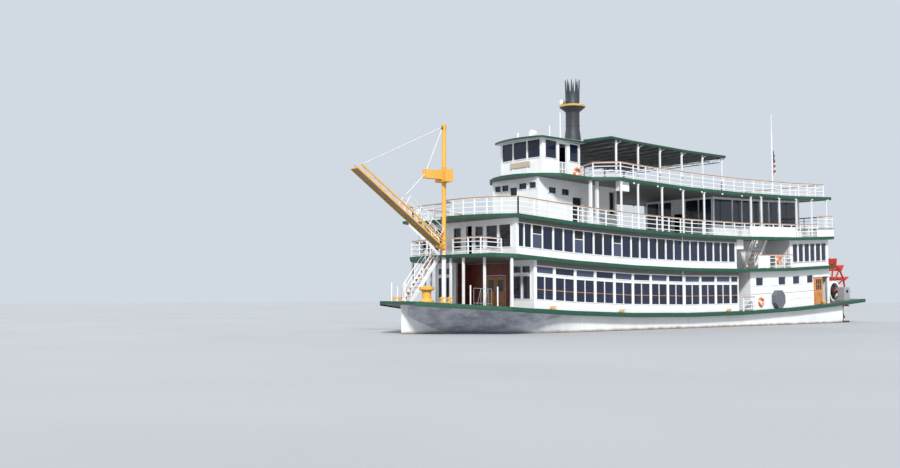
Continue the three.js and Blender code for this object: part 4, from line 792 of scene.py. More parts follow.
def build_house_trim():
    frames, glazing = shells(2)
    fore, rear_half, row = REAR_HOUSE["fore"], REAR_HOUSE["half"], REAR_HOUSE["row"]
    for side, _ in SIDES:
        for opening in raised(FRONT_HOUSE_WINDOWS + FRONT_HOUSE_DOORWAYS, THIRD):
            side_frame(frames, side, FRONT_HOUSE["half"], *opening, sill=0)
        for x0, x1 in REAR_GLAZING:
            side_frame(frames, side, rear_half, x0, x1, *row, wide=0.04)
            glazing.side_box(side, x0, x1, rear_half + GAP, rear_half + 0.015, *row)
        for y0, y1 in ((0.7, 1.85), (1.95, 3.05)):
            end_frame(frames, fore, *across(side, y0, y1), *row, wide=0.04)
            glazing.box(fore + GAP, fore + 0.015, *across(side, y0, y1), *row)
        # Painted shade: near-black sheets stand just inside the front house's doorways.
        for x0, x1, low, high in raised(FRONT_HOUSE_DOORWAYS, THIRD):
            glazing.side_box(side, x0, x1, 1.98, 2.0, low, high, 1)
        for house in (FRONT_HOUSE, REAR_HOUSE):
            face, corner = house["half"] + 0.03, house["fore"]
            frames.side_box(side, house["aft"], corner, house["half"], face, THIRD + 0.02, THIRD + 0.12)
            frames.side_box(side, corner - 0.1, corner + 0.02, house["half"] - 0.1, face, THIRD + 0.02,
                            TRIM_FOURTH)
    for opening in raised(FRONT_HOUSE_END, THIRD):
        end_frame(frames, FRONT_HOUSE["fore"], *opening, wide=0.04)
    frames.make("third_house_frames", WHITE)
    glazing.make("third_house_glazing_and_doorway_shade", [GLASS, INSIDE_SHADE])


# Pilothouse
PILOT = {"aft": 11.2, "nose": 15.0, "nose_half": 0.68, "side": 14.9, "half": 2.0, "wall": 2.5,
         "row": (FOURTH + 1.22, FOURTH + 2.4), "door": (12.55, 13.3, FOURTH + 0.03, FOURTH + 2.3)}
PILOT_ROOF = {"aft": 10.9, "side": 15.2, "nose": 15.75, "half": 2.3, "middle": 13.1}
PILOT_SIDE = [(11.4, 12.25), (13.55, 14.6)]
# The roof's crown: share of its outline and height of each level
ROOF_LEVELS = ((1.0, 0.0), (1.0, 0.14), (0.97, 0.17), (0.75, 0.22), (0.45, 0.26), (0.15, 0.275))
# Places on the roof, x and y, and the turned shapes that stand there
LIGHT_FOOT, DOME_FOOT, NOSE_POST = (12.6, -1.1), (13.9, -0.9), (15.2, 0.0)
SEARCHLIGHT = [(0, -0.2), (0.2, -0.16), (0.26, 0.0), (0.26, 0.22), (0.22, 0.26), (0, 0.24)]
DOME = [(0.26, 0), (0.28, 0.05), (0.24, 0.16), (0.13, 0.24), (0, 0.27)]
# Thin masts on the roof's port side: x and height
ROOF_MASTS = ((13.46, 0.9), (12.42, 1.95))
ROOF_MAST_Y = 1.3
GATE = {"x": 12.66, "pitch": 0.104, "bars": 6, "bar": 0.025, "y": (1.935, 1.965),
        "z": (FOURTH + 0.06, FOURTH + 1.06)}


def pilot_roof_outline(steps=10):
    fore, half = PILOT_ROOF["side"], PILOT_ROOF["half"]
    bow = PILOT_ROOF["nose"] - fore
    edge = [(fore + bow * (1 - (t / steps) ** 2), half * t / steps) for t in range(steps + 1)]
    edge.append((PILOT_ROOF["aft"], half))
    return edge + [(x, -y) for x, y in reversed(edge) if y]


def on_pilot_front(u, y, z):
    """A point u in front of the pilothouse's slightly bowed front wall."""
    slope = (PILOT["nose"] - PILOT["side"]) / (PILOT["half"] - PILOT["nose_half"])
    x = PILOT["nose"] - slope * max(0, abs(y) - PILOT["nose_half"]) + u
    return (x, y, z + rise(PILOT["side"]))


def build_pilothouse_roof():
    roof, gear, lamp = shells(3)
    outline, middle = pilot_roof_outline(), PILOT_ROOF["middle"]
    base = FOURTH + PILOT["wall"] + rise(13)
    rings = [[(middle + (x - middle) * k, y * k, base + z) for x, y in outline] for k, z in ROOF_LEVELS]
    roof.loft(rings, sheer=False)
    roof.finishes = [1 if i < len(outline) else 0 for i in range(len(roof.faces))]
    roof.finishes[-2] = 2
    top = base + 0.2
    gear.pipe(*LIGHT_FOOT, top, top + 0.55, 0.05, 10)
    lamp.spun(SEARCHLIGHT, (*LIGHT_FOOT, top + 0.75), 20, "X")
    gear.pipe(*DOME_FOOT, top - 0.05, top + 0.2, 0.12, 12)
    gear.spun(DOME, (*DOME_FOOT, top + 0.1), 18)
    gear.pipe(*NOSE_POST, top - 0.1, top + 0.35, 0.06, 10)
    for x, high in ROOF_MASTS:
        gear.tube([(x, ROOF_MAST_Y, top + z) for z in (-0.1, 0.15, high)], 0, radii=[0.06, 0.04, 0.025])
    roof.make("pilothouse_roof_shell", [ROOF, GREEN, WHITE], replaces="pilothouse_roof")
    gear.make("pilothouse_roof_gear", RAIL_WHITE, slot="cabin_paint")
    lamp.make("searchlight", LAMP)


def build_pilothouse_walls():
    frames, board = shells(2)
    sill, head = PILOT["row"]
    low, top = FOURTH + 0.02, FOURTH + 2.49
    for side, _ in SIDES:
        for x0, x1 in PILOT_SIDE:
            side_frame(frames, side, PILOT["half"], x0, x1, sill, head, wide=0.04, sill=0)
        side_frame(frames, side, PILOT["half"], *PILOT["door"], sill=0)
        frames.side_box(side, 14.66, PILOT["side"], 1.96, 2.03, low, top)
        frames.side_box(side, PILOT["aft"], PILOT["side"], 1.96, 2.03, low, FOURTH + 0.1)
        for v0, v1 in ((0.62, 0.735), (1.81, 2.02)):
            frames.block(on_pilot_front, -0.02, 0.03, *across(side, v0, v1), low, top)
    for z0, z1 in ((sill - 0.05, sill), (head, head + 0.04), (low, FOURTH + 0.1)):
        for y0, y1 in ((-2.02, -0.68), (-0.68, 0.68), (0.68, 2.02)):
            frames.block(on_pilot_front, -0.02, 0.035, y0, y1, z0, z1)
    nose = PILOT["nose"]
    board.box(nose + 0.005, nose + 0.05, -0.95, 0.95, FOURTH + 0.62, FOURTH + 1.02)
    frames.make("pilothouse_frames", WHITE)
    board.make("name_board_blank", SIGN, bevel=0.02)
    for side, name in SIDES:
        bars = Shell()
        for x in spaced(GATE["x"], GATE["pitch"], GATE["bars"]):
            bars.side_box(side, x, x + GATE["bar"], *GATE["y"], *GATE["z"])
        bars.make(f"pilothouse_gate_{name}_bars", RAIL_WHITE, f"pilothouse_door_{name}")


# Canopy
CANOPY = {"fore": 11.3, "notch": 10.87, "notch_half": 2.4, "aft": -1.8, "half": 4.9, "low": FOURTH + 2.55,
          "thick": 0.16, "crown": 0.1}
CANOPY_POSTS = {"x": (-1.5, 0.9, 3.4, 5.9, 8.3, 10.6), "y": 4.7, "half": 0.05, "curve": 0.5}
TRUSS = {"count": 11, "pitch": 1.2, "half": 4.4, "deep": 0.28, "bays": 12}


def crown(y):
    return CANOPY["thick"] + CANOPY["crown"] * (1 - (y / CANOPY["half"]) ** 2)


def build_canopy():
    roof, posts, truss = shells(3)
    low, aft, half, notch_half = (CANOPY[key] for key in ("low", "aft", "half", "notch_half"))
    strips = [-half, -notch_half, 0.0, notch_half, half]
    for y0, y1 in zip(strips, strips[1:]):
        fore = CANOPY["notch" if abs(y0 + y1) / 2 < notch_half else "fore"]
        stations = [aft, *[k for k in KNUCKLES if aft < k < fore], fore]
        start = len(roof.faces)
        roof.loft([[(x, y0, low), (x, y1, low), (x, y1, low + crown(y1)), (x, y0, low + crown(y0))]
                   for x in stations])
        # Soffit in painted shade, green edges and roof go round each bay; the two caps are green
        roof.finishes[start:] = [2, 1, 0, 1] * (len(stations) - 1) + [1, 1]
    for side, _ in SIDES:
        y = side * CANOPY_POSTS["y"]
        for x in CANOPY_POSTS["x"]:
            posts.post(x, y, CANOPY_POSTS["half"], FOURTH + GAP, low + 0.01)
            r = CANOPY_POSTS["curve"]
            arc = [(x - r * (1 - math.cos(t)), y, low - 0.55 + r * math.sin(t))
                   for t in (math.pi / 2 * k / 6 for k in range(7))]
            posts.tube(arc, 0.03, 6, sheer=True)
    reach, bays = TRUSS["half"], TRUSS["bays"]
    for x in spaced(aft + 0.1, TRUSS["pitch"], TRUSS["count"]):
        z = low + rise(x)
        truss.box(x - 0.03, x + 0.03, -4.85, 4.85, z - 0.05, z + 0.01, sheer=False)
        truss.box(x - 0.025, x + 0.025, -reach, reach, z - 0.34, z - 0.29, sheer=False)
        for n in range(bays):
            y, heights = -reach + n * 2 * reach / bays, [z - 0.03, z - 0.03 - TRUSS["deep"]]
            a, b = reversed(heights) if n % 2 else heights
            truss.tube([(x, y, a), (x, y + 2 * reach / bays, b)], 0.016, 5)
    roof.make("canopy_roof", [ROOF, GREEN, SOFFIT_PAINTED_SHADE], replaces="canopy", smooth=20)
    posts.make("canopy_posts", RAIL_WHITE)
    truss.make("canopy_trusses", GREY)


# Funnel
FUNNEL = {"x": 9.75, "radius": 0.495, "foot": 0.66, "top": 16.8, "joint": 14.4, "ring": 15.85,
          "ring_radius": 0.93, "points": 10}
# The searchlight on the ring, x and y
RING_LIGHT = (10.4, -0.35)
# Half width and height of each point of the crown, a fine fleur with rounded gaps at its foot
CROWN_POINT = ((0.155, -0.1), (0.155, 0.0), (0.12, 0.03), (0.085, 0.1), (0.065, 0.22), (0.055, 0.45),
               (0.035, 0.75), (0.006, 1.0))


def funnel_profile():
    """Radius and height from the foot's skirt past the joint and the flared ring to the hollow top."""
    r, wide, ring, top = (FUNNEL[key] for key in ("radius", "ring_radius", "ring", "top"))
    skirt, joint = FUNNEL["foot"], FUNNEL["joint"]
    foot = CANOPY["low"] + CANOPY["thick"] + rise(FUNNEL["x"] + skirt) + GAP
    return [(0, foot), (skirt, foot), (skirt, foot + 0.05), (0.635, foot + 0.1), (0.6, foot + 0.5),
            (0.55, foot + 0.9), (r, foot + 1.35), (r, joint), (r + 0.015, joint + 0.02),
            (r + 0.015, joint + 0.1), (r, joint + 0.12), (r, ring - 0.45), (r + 0.03, ring - 0.36),
            (wide - 0.03, ring - 0.06), (wide - 0.03, ring), (r + 0.02, ring + 0.05), (r, ring + 0.1),
            (r + 0.02, top), (r - 0.05, top), (r - 0.06, ring + 0.4), (0, ring + 0.4)]


def build_funnel():
    pipe, band, lamp, housing = shells(4)
    x, r, wide, ring, top = (FUNNEL[key] for key in ("x", "radius", "ring_radius", "ring", "top"))
    pipe.spun(funnel_profile(), (x, 0, 0), 48)
    for t in turns(FUNNEL["points"]):
        rings = []
        for half, up in CROWN_POINT:
            a, lean = half / r, r + 0.03 * up
            corners = ((-a, lean - 0.015), (a, lean - 0.015), (a, lean + 0.02), (-a, lean + 0.02))
            rings.append([(x + out * math.cos(t + turn), out * math.sin(t + turn), top + up)
                          for turn, out in corners])
        pipe.loft(rings, sheer=False)
    edge = [(wide - 0.01, -0.06), (wide, -0.04), (wide, 0.06), (wide - 0.02, 0.08)]
    band.spun([(r, 0.01), *edge, (r, 0.09)], (x, 0, ring), 48)
    middle = ring + 0.32
    lamp.spun([(0, 0.1), (0.19, 0.1), (0.19, 0.14), (0, 0.15)], (*RING_LIGHT, middle), 20, "X")
    housing.spun([(0, -0.18), (0.12, -0.16), (0.21, 0.0), (0.21, 0.13), (0.19, 0.13), (0.19, 0.09),
                  (0, 0.09)], (*RING_LIGHT, middle), 20, "X")
    housing.pipe(*RING_LIGHT, ring + 0.05, middle - 0.15, 0.04)
    pipe.make("funnel_shell", DARK, replaces="funnel", smooth=35)
    band.make("funnel_band", GOLD, slot="yellow_paint", smooth=35)
    lamp.make("funnel_searchlight_glass", LAMP, slot="window_glass")
    housing.make("funnel_searchlight", GREY, smooth=35)


# Railings
RAIL = {"high": 1.07, "pitch": 1.34, "bars": (0.16, 0.46, 0.76), "bar": 0.045, "post": 0.035, "foot": 0.05,
        "wood": 0.06}


def railing(name, paths, deck, replaces=(), rail=None):
    """White posts and bars with a wooden top rail on plan paths, joined to what rail already holds."""
    rail, top = rail or Shell(), Shell()
    high = deck + RAIL["high"]
    under = high - RAIL["wood"]
    for path in paths:
        for z in (deck + bar for bar in RAIL["bars"]):
            rail.sweep(path, RAIL["bar"], z - 0.022, z + 0.022)
        rail.sweep(path, 0.06, high - 0.1, under)
        for x, y in along_path(path, RAIL["pitch"]):
            rail.post(x, y, RAIL["post"], deck + GAP, under)
            rail.post(x, y, RAIL["foot"], deck + GAP, deck + 0.025)
        top.sweep(path, 0.1, under, high)
    rail.make(name, RAIL_WHITE, replaces=replaces)
    top.make(f"{name}_top", HANDRAIL, bevel=0.015)


THIRD_POSTS = (10.6, 8.85, 6.24, 3.84, 1.33, -4.7, -6.14, -8.72, -11.26, -13.6, -16.0)
CORNER_POSTS = ((11.85, 3.5), (11.25, 3.55))
FORE_POSTS = ((21.2, 0.05), (21.2, 1.28), (20.9, 2.91), (20.45, 4.85), (21.2, -1.95), (20.9, -2.95),
              (20.45, -4.85))
PLATFORM = {"fore": -14.5, "high": 0.68, "corner": -16.9}
BOW_EDGE = {"x": 20.2, "bulge": 1.2}
BULWARK = {"x": (-11, -4.5), "z": (THIRD + 0.04, THIRD + 0.8)}
HOOD = {"x": (9.65, 10.5), "y": (4.55, 5.0), "low": FOURTH - 0.85}


def third_deck_posts():
    """Posts under the fourth deck, with the solid panel and the hood between them."""
    shell = Shell()
    y = RAIL_Y
    for side, _ in SIDES:
        for x in THIRD_POSTS:
            foot = THIRD + (PLATFORM["high"] if x < PLATFORM["fore"] else 0) + GAP
            shell.post(x, side * y, 0.05, foot, UNDER_FOURTH)
            shell.side_box(side, x - 0.09, x + 0.09, y - 0.07, y + 0.07, FOURTH - 0.32, FOURTH - 0.2)
        shell.side_box(side, *BULWARK["x"], y - 0.03, y + 0.03, *BULWARK["z"])
        shell.side_box(side, *HOOD["x"], *HOOD["y"], HOOD["low"], UNDER_FOURTH)
        for x, v in CORNER_POSTS:
            shell.post(x, side * v, 0.085, THIRD + GAP, UNDER_FOURTH)
    return shell


def on_bow_edge(y):
    return (BOW_EDGE["x"] + BOW_EDGE["bulge"] * (1 - (y / HALF_BEAM) ** 2) - 0.1, y)


def build_railings():
    y, corner, start = RAIL_Y, PLATFORM["corner"], PLATFORM["fore"] + 0.06
    bow = [(20.15, y), *[on_bow_edge(v) for v in (4.1, 3.1, 2.2, 1.3, 0.4, -0.65)], (20.47, -0.85),
           (20.47, -4.2)]
    railing("third_rail", [[(start, y), (20.15, y)], bow, [(20.25, -y), (start, -y)],
                           [(21.1, -4.92), (20.25, -y)]], THIRD, "third_deck_rail", third_deck_posts())
    railing("platform_rail", [[(start - 0.16, -y), (corner, -y), (corner, y), (start - 0.16, y)]],
            THIRD + PLATFORM["high"])
    railing("fourth_rail", [[(11.05, 2.15), (11.7, 3.6), (10.65, y), (-15.6, y), (-15.6, -y), (10.65, -y),
                             (11.7, -3.6), (11.05, -2.15)]], FOURTH, "fourth_deck_rail")
    for side, name in SIDES:
        panel = Shell()
        panel.side_box(side, -7.2, -5.7, y - 0.02, y + 0.02, SECOND + 0.03, SECOND + 0.95)
        railing(f"gallery_rail_{name}", [[(-5.6, side * y), (-10.5, side * y)]], SECOND,
                f"second_gallery_rail_{name}", panel)
        railing(f"passage_rails_{name}", [[(-3.46, side * y), (-4.94, side * y)]], MAIN,
                f"passage_rail_{name}")
    railing("fore_rail_port", [[(20.05, 3.5), (21.2, 2.9), (21.35, 1.9), (21.35, 0.45)]], SECOND,
            "second_fore_rail_port")
    railing("fore_rail_starboard", [[(20.05, -4.4), (21.05, -4.15), (21.36, -2.15), (21.36, -1.8)]], SECOND,
            "second_fore_rail_starboard")


# Plan paths of the boards below the decks' edges
EDGE_Y, EDGE_AFT = 5.17, -16.97
FOURTH_OUTLINE = [(10.73, EDGE_Y), (-16.67, EDGE_Y), (-16.67, -EDGE_Y), (10.73, -EDGE_Y)]
THIRD_OUTLINE = [(20.2, EDGE_Y), (EDGE_AFT, EDGE_Y), (EDGE_AFT, -EDGE_Y), (20.2, -EDGE_Y)]
SECOND_OUTLINE = [(21.42, 2.2), (21.17, 4.18), (20.28, EDGE_Y), (EDGE_AFT, EDGE_Y), (EDGE_AFT, -EDGE_Y),
                  (20.28, -EDGE_Y), (21.17, -4.18), (21.42, -2.2)]


def build_deck_trim():
    posts, cover, edges, boards = shells(4)
    for x, y in FORE_POSTS:
        posts.post(x, y, 0.063, MAIN + GAP, UNDER_SECOND)
        posts.post(x, y, 0.1, MAIN + GAP, MAIN + 0.03)
    stern, top = (STERN_X, PLATFORM["fore"], -HALF_BEAM, HALF_BEAM), THIRD + PLATFORM["high"]
    cover.box(*stern, THIRD + GAP, top - 0.08)
    cover.box(*stern, top - 0.08, top - GAP, 1)
    for outline, under in ((FOURTH_OUTLINE, UNDER_FOURTH), (THIRD_OUTLINE, UNDER_THIRD),
                           (SECOND_OUTLINE, UNDER_SECOND)):
        edges.sweep(outline, 0.05, under + GAP - 0.05, under)
    for side, _ in SIDES:
        # Painted shadow: a grey-brown band on the cabin walls from the window heads up to the deck above.
        boards.board(side, CABIN["aft"], CABIN["fore"], 0.03, MAIN + 2.68, UNDER_SECOND)
        boards.board(side, SALON["aft"], SALON["fore"], 0.03, SECOND + 2.0, UNDER_THIRD)
    posts.make("fore_posts", RAIL_WHITE)
    cover.make("stern_platform_cover", [WHITE, GREEN], bevel=0.01)
    edges.make("deck_fascias", GREEN)
    boards.make("painted_shadow_bands", SHADE)


# Stairs
STAIR = {"rails": (0.5, 0.88), "rail_radius": 0.025, "post_pitch": 0.75, "plate": 0.05, "from": 0.2,
         "tread_half": 0.13}


def stair(name, foot, head, width, treads, replaces, short):
    """A flight from foot to head: boarded treads, plate stringers and rails that end short of the head."""
    foot, head = Vector(foot), Vector(head)
    run = math.hypot(head.x - foot.x, head.y - foot.y)
    ux, uy = (head.x - foot.x) / run, (head.y - foot.y) / run
    climb = head.z - foot.z
    pitch = climb / run

    def place(u, v, w):
        return (foot.x + ux * u - uy * v, foot.y + uy * u + ux * v, foot.z + w)

    shell = Shell()
    radius, start, end = STAIR["rail_radius"], STAIR["from"], run - short
    outline = [(0, 0), (0.25, 0), (run, climb - 0.28), (run, climb), (run - 0.1, climb)]
    count = max(2, round((end - start) / STAIR["post_pitch"]))
    for side, _ in SIDES:
        v0, v1 = across(side, width / 2, width / 2 - STAIR["plate"])
        shell.loft([[place(u, v, w) for u, w in outline] for v in (v0, v1)], sheer=False)
        middle = (v0 + v1) / 2
        for lift in STAIR["rails"]:
            shell.tube([place(u, middle, u * pitch + lift) for u in (start, end)], radius)
        for u in spaced(start, (end - start) / count, count + 1):
            shell.tube([place(u, middle, u * pitch + w) for w in (-0.06, max(STAIR["rails"]))], radius)
    step, half = run / treads, width / 2 - 0.04
    deep = min(STAIR["tread_half"], step / 2)
    for u in spaced(step / 2, step, treads):
        w = u * pitch
        shell.block(place, u - deep, u + deep, -half, half, w - 0.055, w - 0.012, 1)
    shell.make(name, [RAIL_WHITE, TREAD], replaces=replaces)


def build_stairs():
    stair("bow_stair_flight", (23.9, -1.2, MAIN + rise(23.9) + GAP), (21.4506, -1.2, SECOND + rise(21.45)),
          0.9, 11, "bow_stair", 0.45)
    stair("upper_stair_flight", (20.88, -0.95, SECOND + rise(21.19) + GAP),
          (20.88, -4.35 + GAP, THIRD + rise(20.55)), 0.62, 10, "upper_stair", 0.1)
    for side, name in SIDES:
        y = side * 3.9
        stair(f"gallery_stair_{name}_flight", (-6.2, y, SECOND + rise(-6.45) + GAP),
              (-8.2, y, THIRD + rise(-8.2)), 0.8, 8, f"gallery_stair_{name}", 0.02)


# Mast, gangway and their wires
MAST = {"x": 21.72, "radius": 0.14, "top": 13.16, "bands": (5.0, 9.4, 10.4, 12.95)}
MAST_FOOT = {"low": MAIN + 0.1 + rise(21.86), "high": 5.15}
HINGE = {"x": 22.05, "z": 5.4}
GANGWAY = {"length": 7.9, "angle": math.radians(34.3), "half": 0.4, "deep": 0.42, "bays": 12, "planks": 26,
           "rail_x": (0.63, 1.7, 2.8, 3.87), "rail_high": 1.03, "rail_middle": 0.72}
JIB_END = (23.25, 0, 9.9)
WIRE_RADIUS = 0.03


def on_gangway(u, v, w):
    c, s = math.cos(GANGWAY["angle"]), math.sin(GANGWAY["angle"])
    w -= 0.06
    return (HINGE["x"] + u * c - w * s, v, HINGE["z"] + u * s + w * c)


def build_mast_trim():
    bands, foot = shells(2)
    x, r = MAST["x"], MAST["radius"]
    for z in MAST["bands"]:
        bands.spun([(r, 0), (r + 0.025, 0.01), (r + 0.025, 0.09), (r, 0.1)], (x, 0, z), 24)
    bands.spun([(r, 0), (r, 0.04), (0.1, 0.09), (0, 0.1)], (x, 0, MAST["top"] - 0.02), 20)
    low, high = MAST_FOOT["low"], MAST_FOOT["high"]
    foot.spun([(0.1, low), (r + 0.0025, low), (r + 0.0025, high), (0.1, high)], (x, 0, 0), 24)
    bands.make("mast_bands", YELLOW, "mast")
    foot.make("mast_foot_paint", RAIL_WHITE, "mast")


def build_gangway():
    truss, rails, planks = shells(3)
    length, half, deep, bays = (GANGWAY[key] for key in ("length", "half", "deep", "bays"))
    bay = (length - 0.45) / bays
    for side, _ in SIDES:
        v0, v1 = across(side, half, half - 0.06)
        truss.block(on_gangway, 0.12, length, v0, v1, 0, 0.08)
        truss.block(on_gangway, 0.12, length - 0.1, v0, v1, deep - 0.08, deep)
        middle = (v0 + v1) / 2
        for n in range(bays + 1):
            u = 0.18 + n * bay
            truss.block(on_gangway, u - 0.02, u + 0.02, middle - 0.02, middle + 0.02, 0.03, deep - 0.03)
            if n < bays:
                a, b = (0.06, deep - 0.06) if n % 2 else (deep - 0.06, 0.06)
                truss.tube([on_gangway(u, middle, a), on_gangway(u + bay, middle, b)], 0.018, 6)
        for lift, r in ((GANGWAY["rail_high"], 0.024), (GANGWAY["rail_middle"], 0.016)):
            rails.tube([on_gangway(u, middle, lift) for u in (0.6, 3.9)], r)
        for u in GANGWAY["rail_x"]:
            rails.tube([on_gangway(u, middle, w) for w in (deep - 0.04, GANGWAY["rail_high"])], 0.02)
    truss.block(on_gangway, -0.08, 0.2, -0.11, 0.11, 0.0, 0.16)
    pitch = (length - 0.25) / GANGWAY["planks"]
    for u in spaced(0.2, pitch, GANGWAY["planks"]):
        planks.block(on_gangway, u, u + pitch - 0.015, -half + 0.07, half - 0.07, 0.03, 0.065)
    truss.make("gangway_truss", YELLOW, "gangway", replaces="gangway")
    rails.make("gangway_rails", RAIL_WHITE, "gangway")
    planks.make("gangway_planks", PLANKS, "gangway")


def build_wires():
    mast_top, jib = (MAST["x"] + 0.1, 0, MAST["top"] - 0.15), JIB_END
    wire, sheave = shells(2)
    wire.tube([mast_top, Vector(mast_top).lerp(jib, 0.5), jib], WIRE_RADIUS, 6)
    wire.make("jib_wire", WIRE, "mast")
    tip = on_gangway(GANGWAY["length"] - 0.25, 0, GANGWAY["deep"])
    for name, a, b in (("topping_wire", mast_top, tip), ("hoist_wire", jib, on_gangway(4.0, 0, 1.0))):
        wire = Shell()
        wire.tube([a, b], WIRE_RADIUS, 6)
        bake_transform(wire.make(name, WIRE, body=None), "mast", "gangway", at(*a), at(*b))
    sheave.spun([(0.05, -0.06), (0.13, -0.05), (0.13, 0.05), (0.05, 0.06)], (MAST["x"] + 0.1, 0, 12.95), 18,
                "Y")
    sheave.make("mast_sheave", DARK, "mast")


# Wheel
WHEEL = {"x": -20.1, "z": 2.7, "buckets": 14, "frames": (-3.1, -1.03, 1.03, 3.1), "bolts": (2.52, 2.8)}
HUB_Y = 3.16


def build_wheel():
    rings, bolts = shells(2)
    centre = (WHEEL["x"], 0, WHEEL["z"])
    for side, _ in SIDES:
        ring = [(0.76, 0), (0.92, 0), (0.92, 0.32), (0.76, 0.32), (0.76, 0)]
        disc = [(0.16, 0), (0.75, 0), (0.75, 0.04), (0.34, 0.06), (0.34, 0.3), (0.16, 0.34)]
        for finish, profile, sides in ((0, ring, 32), (1, disc, 24)):
            rings.spun([(r, side * (HUB_Y + h)) for r, h in profile], centre, sides, "Y", finish)
    for a in turns(WHEEL["buckets"]):
        for y in WHEEL["frames"]:
            for r in WHEEL["bolts"]:
                spot = (WHEEL["x"] + r * math.cos(a), y + 0.1, WHEEL["z"] - r * math.sin(a))
                bolts.spun([(0.0, -0.05), (0.035, -0.05), (0.035, 0.05), (0.0, 0.05)], spot, 6)
    rings.make("wheel_hub_rings", [LAMP, DARK], "paddle_wheel", "grey_paint")
    bolts.make("wheel_bolts", DARK, "paddle_wheel")


# Flag
FLAG = {"x": -16.41, "top": 15.25, "high": 2.3, "columns": 26, "rows": 46, "stripes": 9}


def build_flag():
    """A drooping flag beside its pole, as a gathered sheet of stripes with a blue corner."""
    columns, rows = FLAG["columns"], FLAG["rows"]
    shell = Shell()
    points, faces, finishes = [], [], []
    for u in (i / columns for i in range(columns + 1)):
        for v in (j / rows for j in range(rows + 1)):
            wave = math.sin(u * 5 * math.pi + v * 1.3)
            drop = v * FLAG["high"] * (0.93 + 0.05 * math.cos(u * 3)) + 0.12 * u
            points.append((FLAG["x"] - u * 0.34 * (0.6 + 0.4 * v), wave * (0.16 + 0.1 * v) * 0.24,
                           FLAG["top"] - drop))
    for i in range(columns):
        for j in range(rows):
            a = i * (rows + 1) + j
            faces.append([a, a + 1, a + rows + 2, a + rows + 1])
            in_corner = i < columns * 0.45 and j < rows * 0.5
            stripe = int(j / rows * FLAG["stripes"])
            finishes.append(2 if in_corner else 1 - stripe % 2)
    shell.add(points, faces, sheer=False)
    shell.finishes = finishes
    flag = shell.make("flag_cloth", [FLAG_RED, FLAG_WHITE, BLUE], replaces="flag", smooth=80)


# Fittings
LAMPS = {"x": 9.4, "y": HALF_BEAM + 0.02, "pitch": -2.55, "count": 11, "drop": 0.28}
LAMP_PROFILE = [(0, -0.06), (0.05, -0.05), (0.075, 0.0), (0.05, 0.05), (0, 0.06)]
# Columns: x, z, y
BUOYS = ((-6.32, 1.87, 4.84), (-8.44, 5.15, 5.16), (11.6, 10.75, 2.1))
CLEATS = {"x": (17.0, 10.42, -1.88, -15.6), "y": 4.95}
STANCHIONS = ((25.2, -0.8), (25.2, 0.55), (22.65, 3.6), (22.65, -3.6), (21.35, 4.57), (21.35, -4.57))
BARRIER = {"ends": ((22.35, 3.55), (21.5, 4.2)), "bays": 5, "lifts": (0.12, 1.0), "radius": 0.014}
# Ends of each box in x, in distance from the centre plane and in z
SIDE_BOARD = (-13.9, -10.6, 4.755, 4.775, MAIN + 0.66, MAIN + 0.98)
BEARING_FOOT = (-20.58, -19.62, 3.97, 4.63, MAIN + GAP, MAIN + 0.28)
BEARING_CAP = {"x": (-20.56, -19.64), "y": (3.98, 4.62), "z": (2.1, 3.07)}


def build_side_fittings():
    lamps, buoys, cleats, boards = shells(4)
    for side, _ in SIDES:
        for x in spaced(LAMPS["x"], LAMPS["pitch"], LAMPS["count"]):
            lamps.spun(LAMP_PROFILE, (x, side * LAMPS["y"], FOURTH + rise(x) - LAMPS["drop"]), 10)
        for x, z, y in BUOYS:
            buoys.buoy((x, side * y, z))
        for x in CLEATS["x"]:
            y, z = side * CLEATS["y"], MAIN + rise(x)
            cleats.box(x - 0.3, x + 0.3, y - 0.05, y + 0.05, z + 0.16, z + 0.22, sheer=False)
            for leg in (x - 0.1, x + 0.1):
                cleats.pipe(leg, y, z, z + 0.18, 0.05)
        boards.side_box(side, *SIDE_BOARD)
    lamps.make("fascia_lamps", LAMP)
    buoys.make("lifebuoys", [BUOY_ORANGE, WHITE], smooth=60)
    cleats.make("guard_cleats", YELLOW, bevel=0.01)
    boards.make("side_boards_blank", WHITE, bevel=0.01)


def build_deck_fittings():
    bars, barrier, covers = shells(3)
    for x, y in STANCHIONS:
        z = MAIN + rise(x)
        bars.pipe(x, y, z, z + 1.15, 0.04)
        bars.spun([(0, 0), (0.06, 0), (0.06, 0.02), (0.035, 0.03), (0, 0.03)], (x, y, z), 10)
    r, bays = BARRIER["radius"], BARRIER["bays"]
    for side, _ in SIDES:
        fore, aft = (Vector((x, side * y, MAIN + rise(x))) for x, y in BARRIER["ends"])
        for lift in BARRIER["lifts"]:
            barrier.tube([end + Vector((0, 0, lift)) for end in (fore, aft)], r, 6)
        for n in range(bays + 1):
            head = fore.lerp(aft, min(1, (n + n % 2) / bays))
            barrier.tube([fore.lerp(aft, n / bays), head + Vector((0, 0, max(BARRIER["lifts"])))], r, 6)
        covers.side_box(side, *BEARING_FOOT)
        covers.box(*BEARING_CAP["x"], *across(side, *BEARING_CAP["y"]), *BEARING_CAP["z"], sheer=False)
    bars.make("deck_stanchions", RAIL_WHITE)
    barrier.make("folding_barriers", GREY)
    covers.make("bearing_covers", GREY, bevel=0.02)


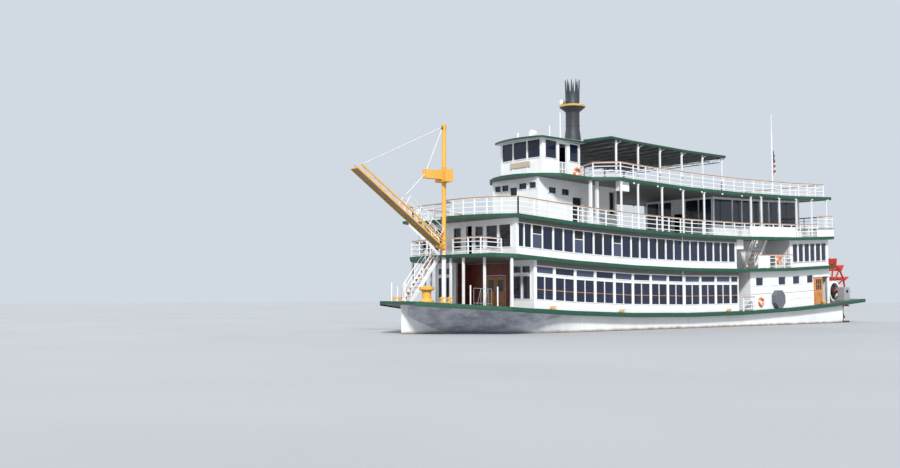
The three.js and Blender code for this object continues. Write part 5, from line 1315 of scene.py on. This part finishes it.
NODE_FINISHES = {
    MAIN_DECK: ["main_deck", "second_deck"],
    UPPER_DECK: ["third_deck", "fourth_deck"],
    WHITE: ["main_cabin_front_wall", "main_cabin_aft_wall", "second_cabin_aft_wall",
            "second_aft_cabin_walls", "third_rear_house_walls", "pilothouse_walls",
            "pilothouse_door_port", "pilothouse_door_starboard"],
    GLASS: ["second_aft_cabin_glass", "third_rear_house_glass", "pilothouse_glass"],
    DOOR_ORANGE: ["entrance_door_port", "entrance_door_starboard", "engine_room_door_port",
                  "engine_room_door_starboard"],
    YELLOW: ["mast", "winch_box", "capstan", "bitts_port", "bitts_starboard"],
    RED: ["paddle_wheel"],
    DARK: ["rudder_port", "rudder_starboard"],
    GREY: ["engine"],
    SLATE: ["raft_drum"],
    RAIL_WHITE: ["flagpole"],
}
for finish, names in NODE_FINISHES.items():
    for name in names:
        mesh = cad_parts[name].data
        mesh.materials.clear()
        mesh.materials.append(finish)

for build in (build_hull, build_main_cabin, build_entrance_doors, build_second_cabin, build_aft_cabins,
              build_engine_room_doors, build_front_house, build_house_trim, build_pilothouse_roof,
              build_pilothouse_walls, build_canopy, build_funnel, build_railings, build_deck_trim,
              build_stairs, build_mast_trim, build_gangway, build_wires, build_wheel, build_flag,
              build_side_fittings, build_deck_fittings):
    build()

# Floor and light
FLOOR_HALF = 120
SKY, SKY_STRENGTH = (0.8, 0.87, 0.96, 1), 0.8
# Columns: name, direction towards the light, strength, angle across in degrees
SUNS = (("key", (0.44, 0.6, 0.66), 4.1, 8), ("fill", (0.3, -0.7, 0.45), 0.5, 40))


def build_stage():
    corners = [(x * FLOOR_HALF, y * FLOOR_HALF, WATER) for x, y in ((-1, -1), (1, -1), (1, 1), (-1, 1))]
    mesh = bpy.data.meshes.new("floor")
    mesh.from_pydata(corners, [], [[0, 1, 2, 3]])
    floor = bpy.data.objects.new("floor", mesh)
    bpy.context.scene.collection.objects.link(floor)
    n = Nodes("floor_finish")
    tone = n.mix(n.ramp(n.noise(0.15, 2), 0.3, 0.7), (0.36, 0.37, 0.38), (0.39, 0.4, 0.41))
    mesh.materials.append(n.finish(tone, (0.7, 0.8)))
    bpy.context.scene.view_settings.view_transform = "Standard"
    world = bpy.data.worlds.new("studio")
    bpy.context.scene.world = world
    world.use_nodes = True
    background = world.node_tree.nodes["Background"]
    background.inputs[0].default_value = SKY
    background.inputs[1].default_value = SKY_STRENGTH
    for name, direction, energy, angle in SUNS:
        sun = bpy.data.lights.new(name, "SUN")
        sun.energy = energy
        sun.angle = math.radians(angle)
        holder = bpy.data.objects.new(name, sun)
        bpy.context.scene.collection.objects.link(holder)
        holder.rotation_mode = "QUATERNION"
        holder.rotation_quaternion = Vector(direction).to_track_quat("Z", "Y")


build_stage()
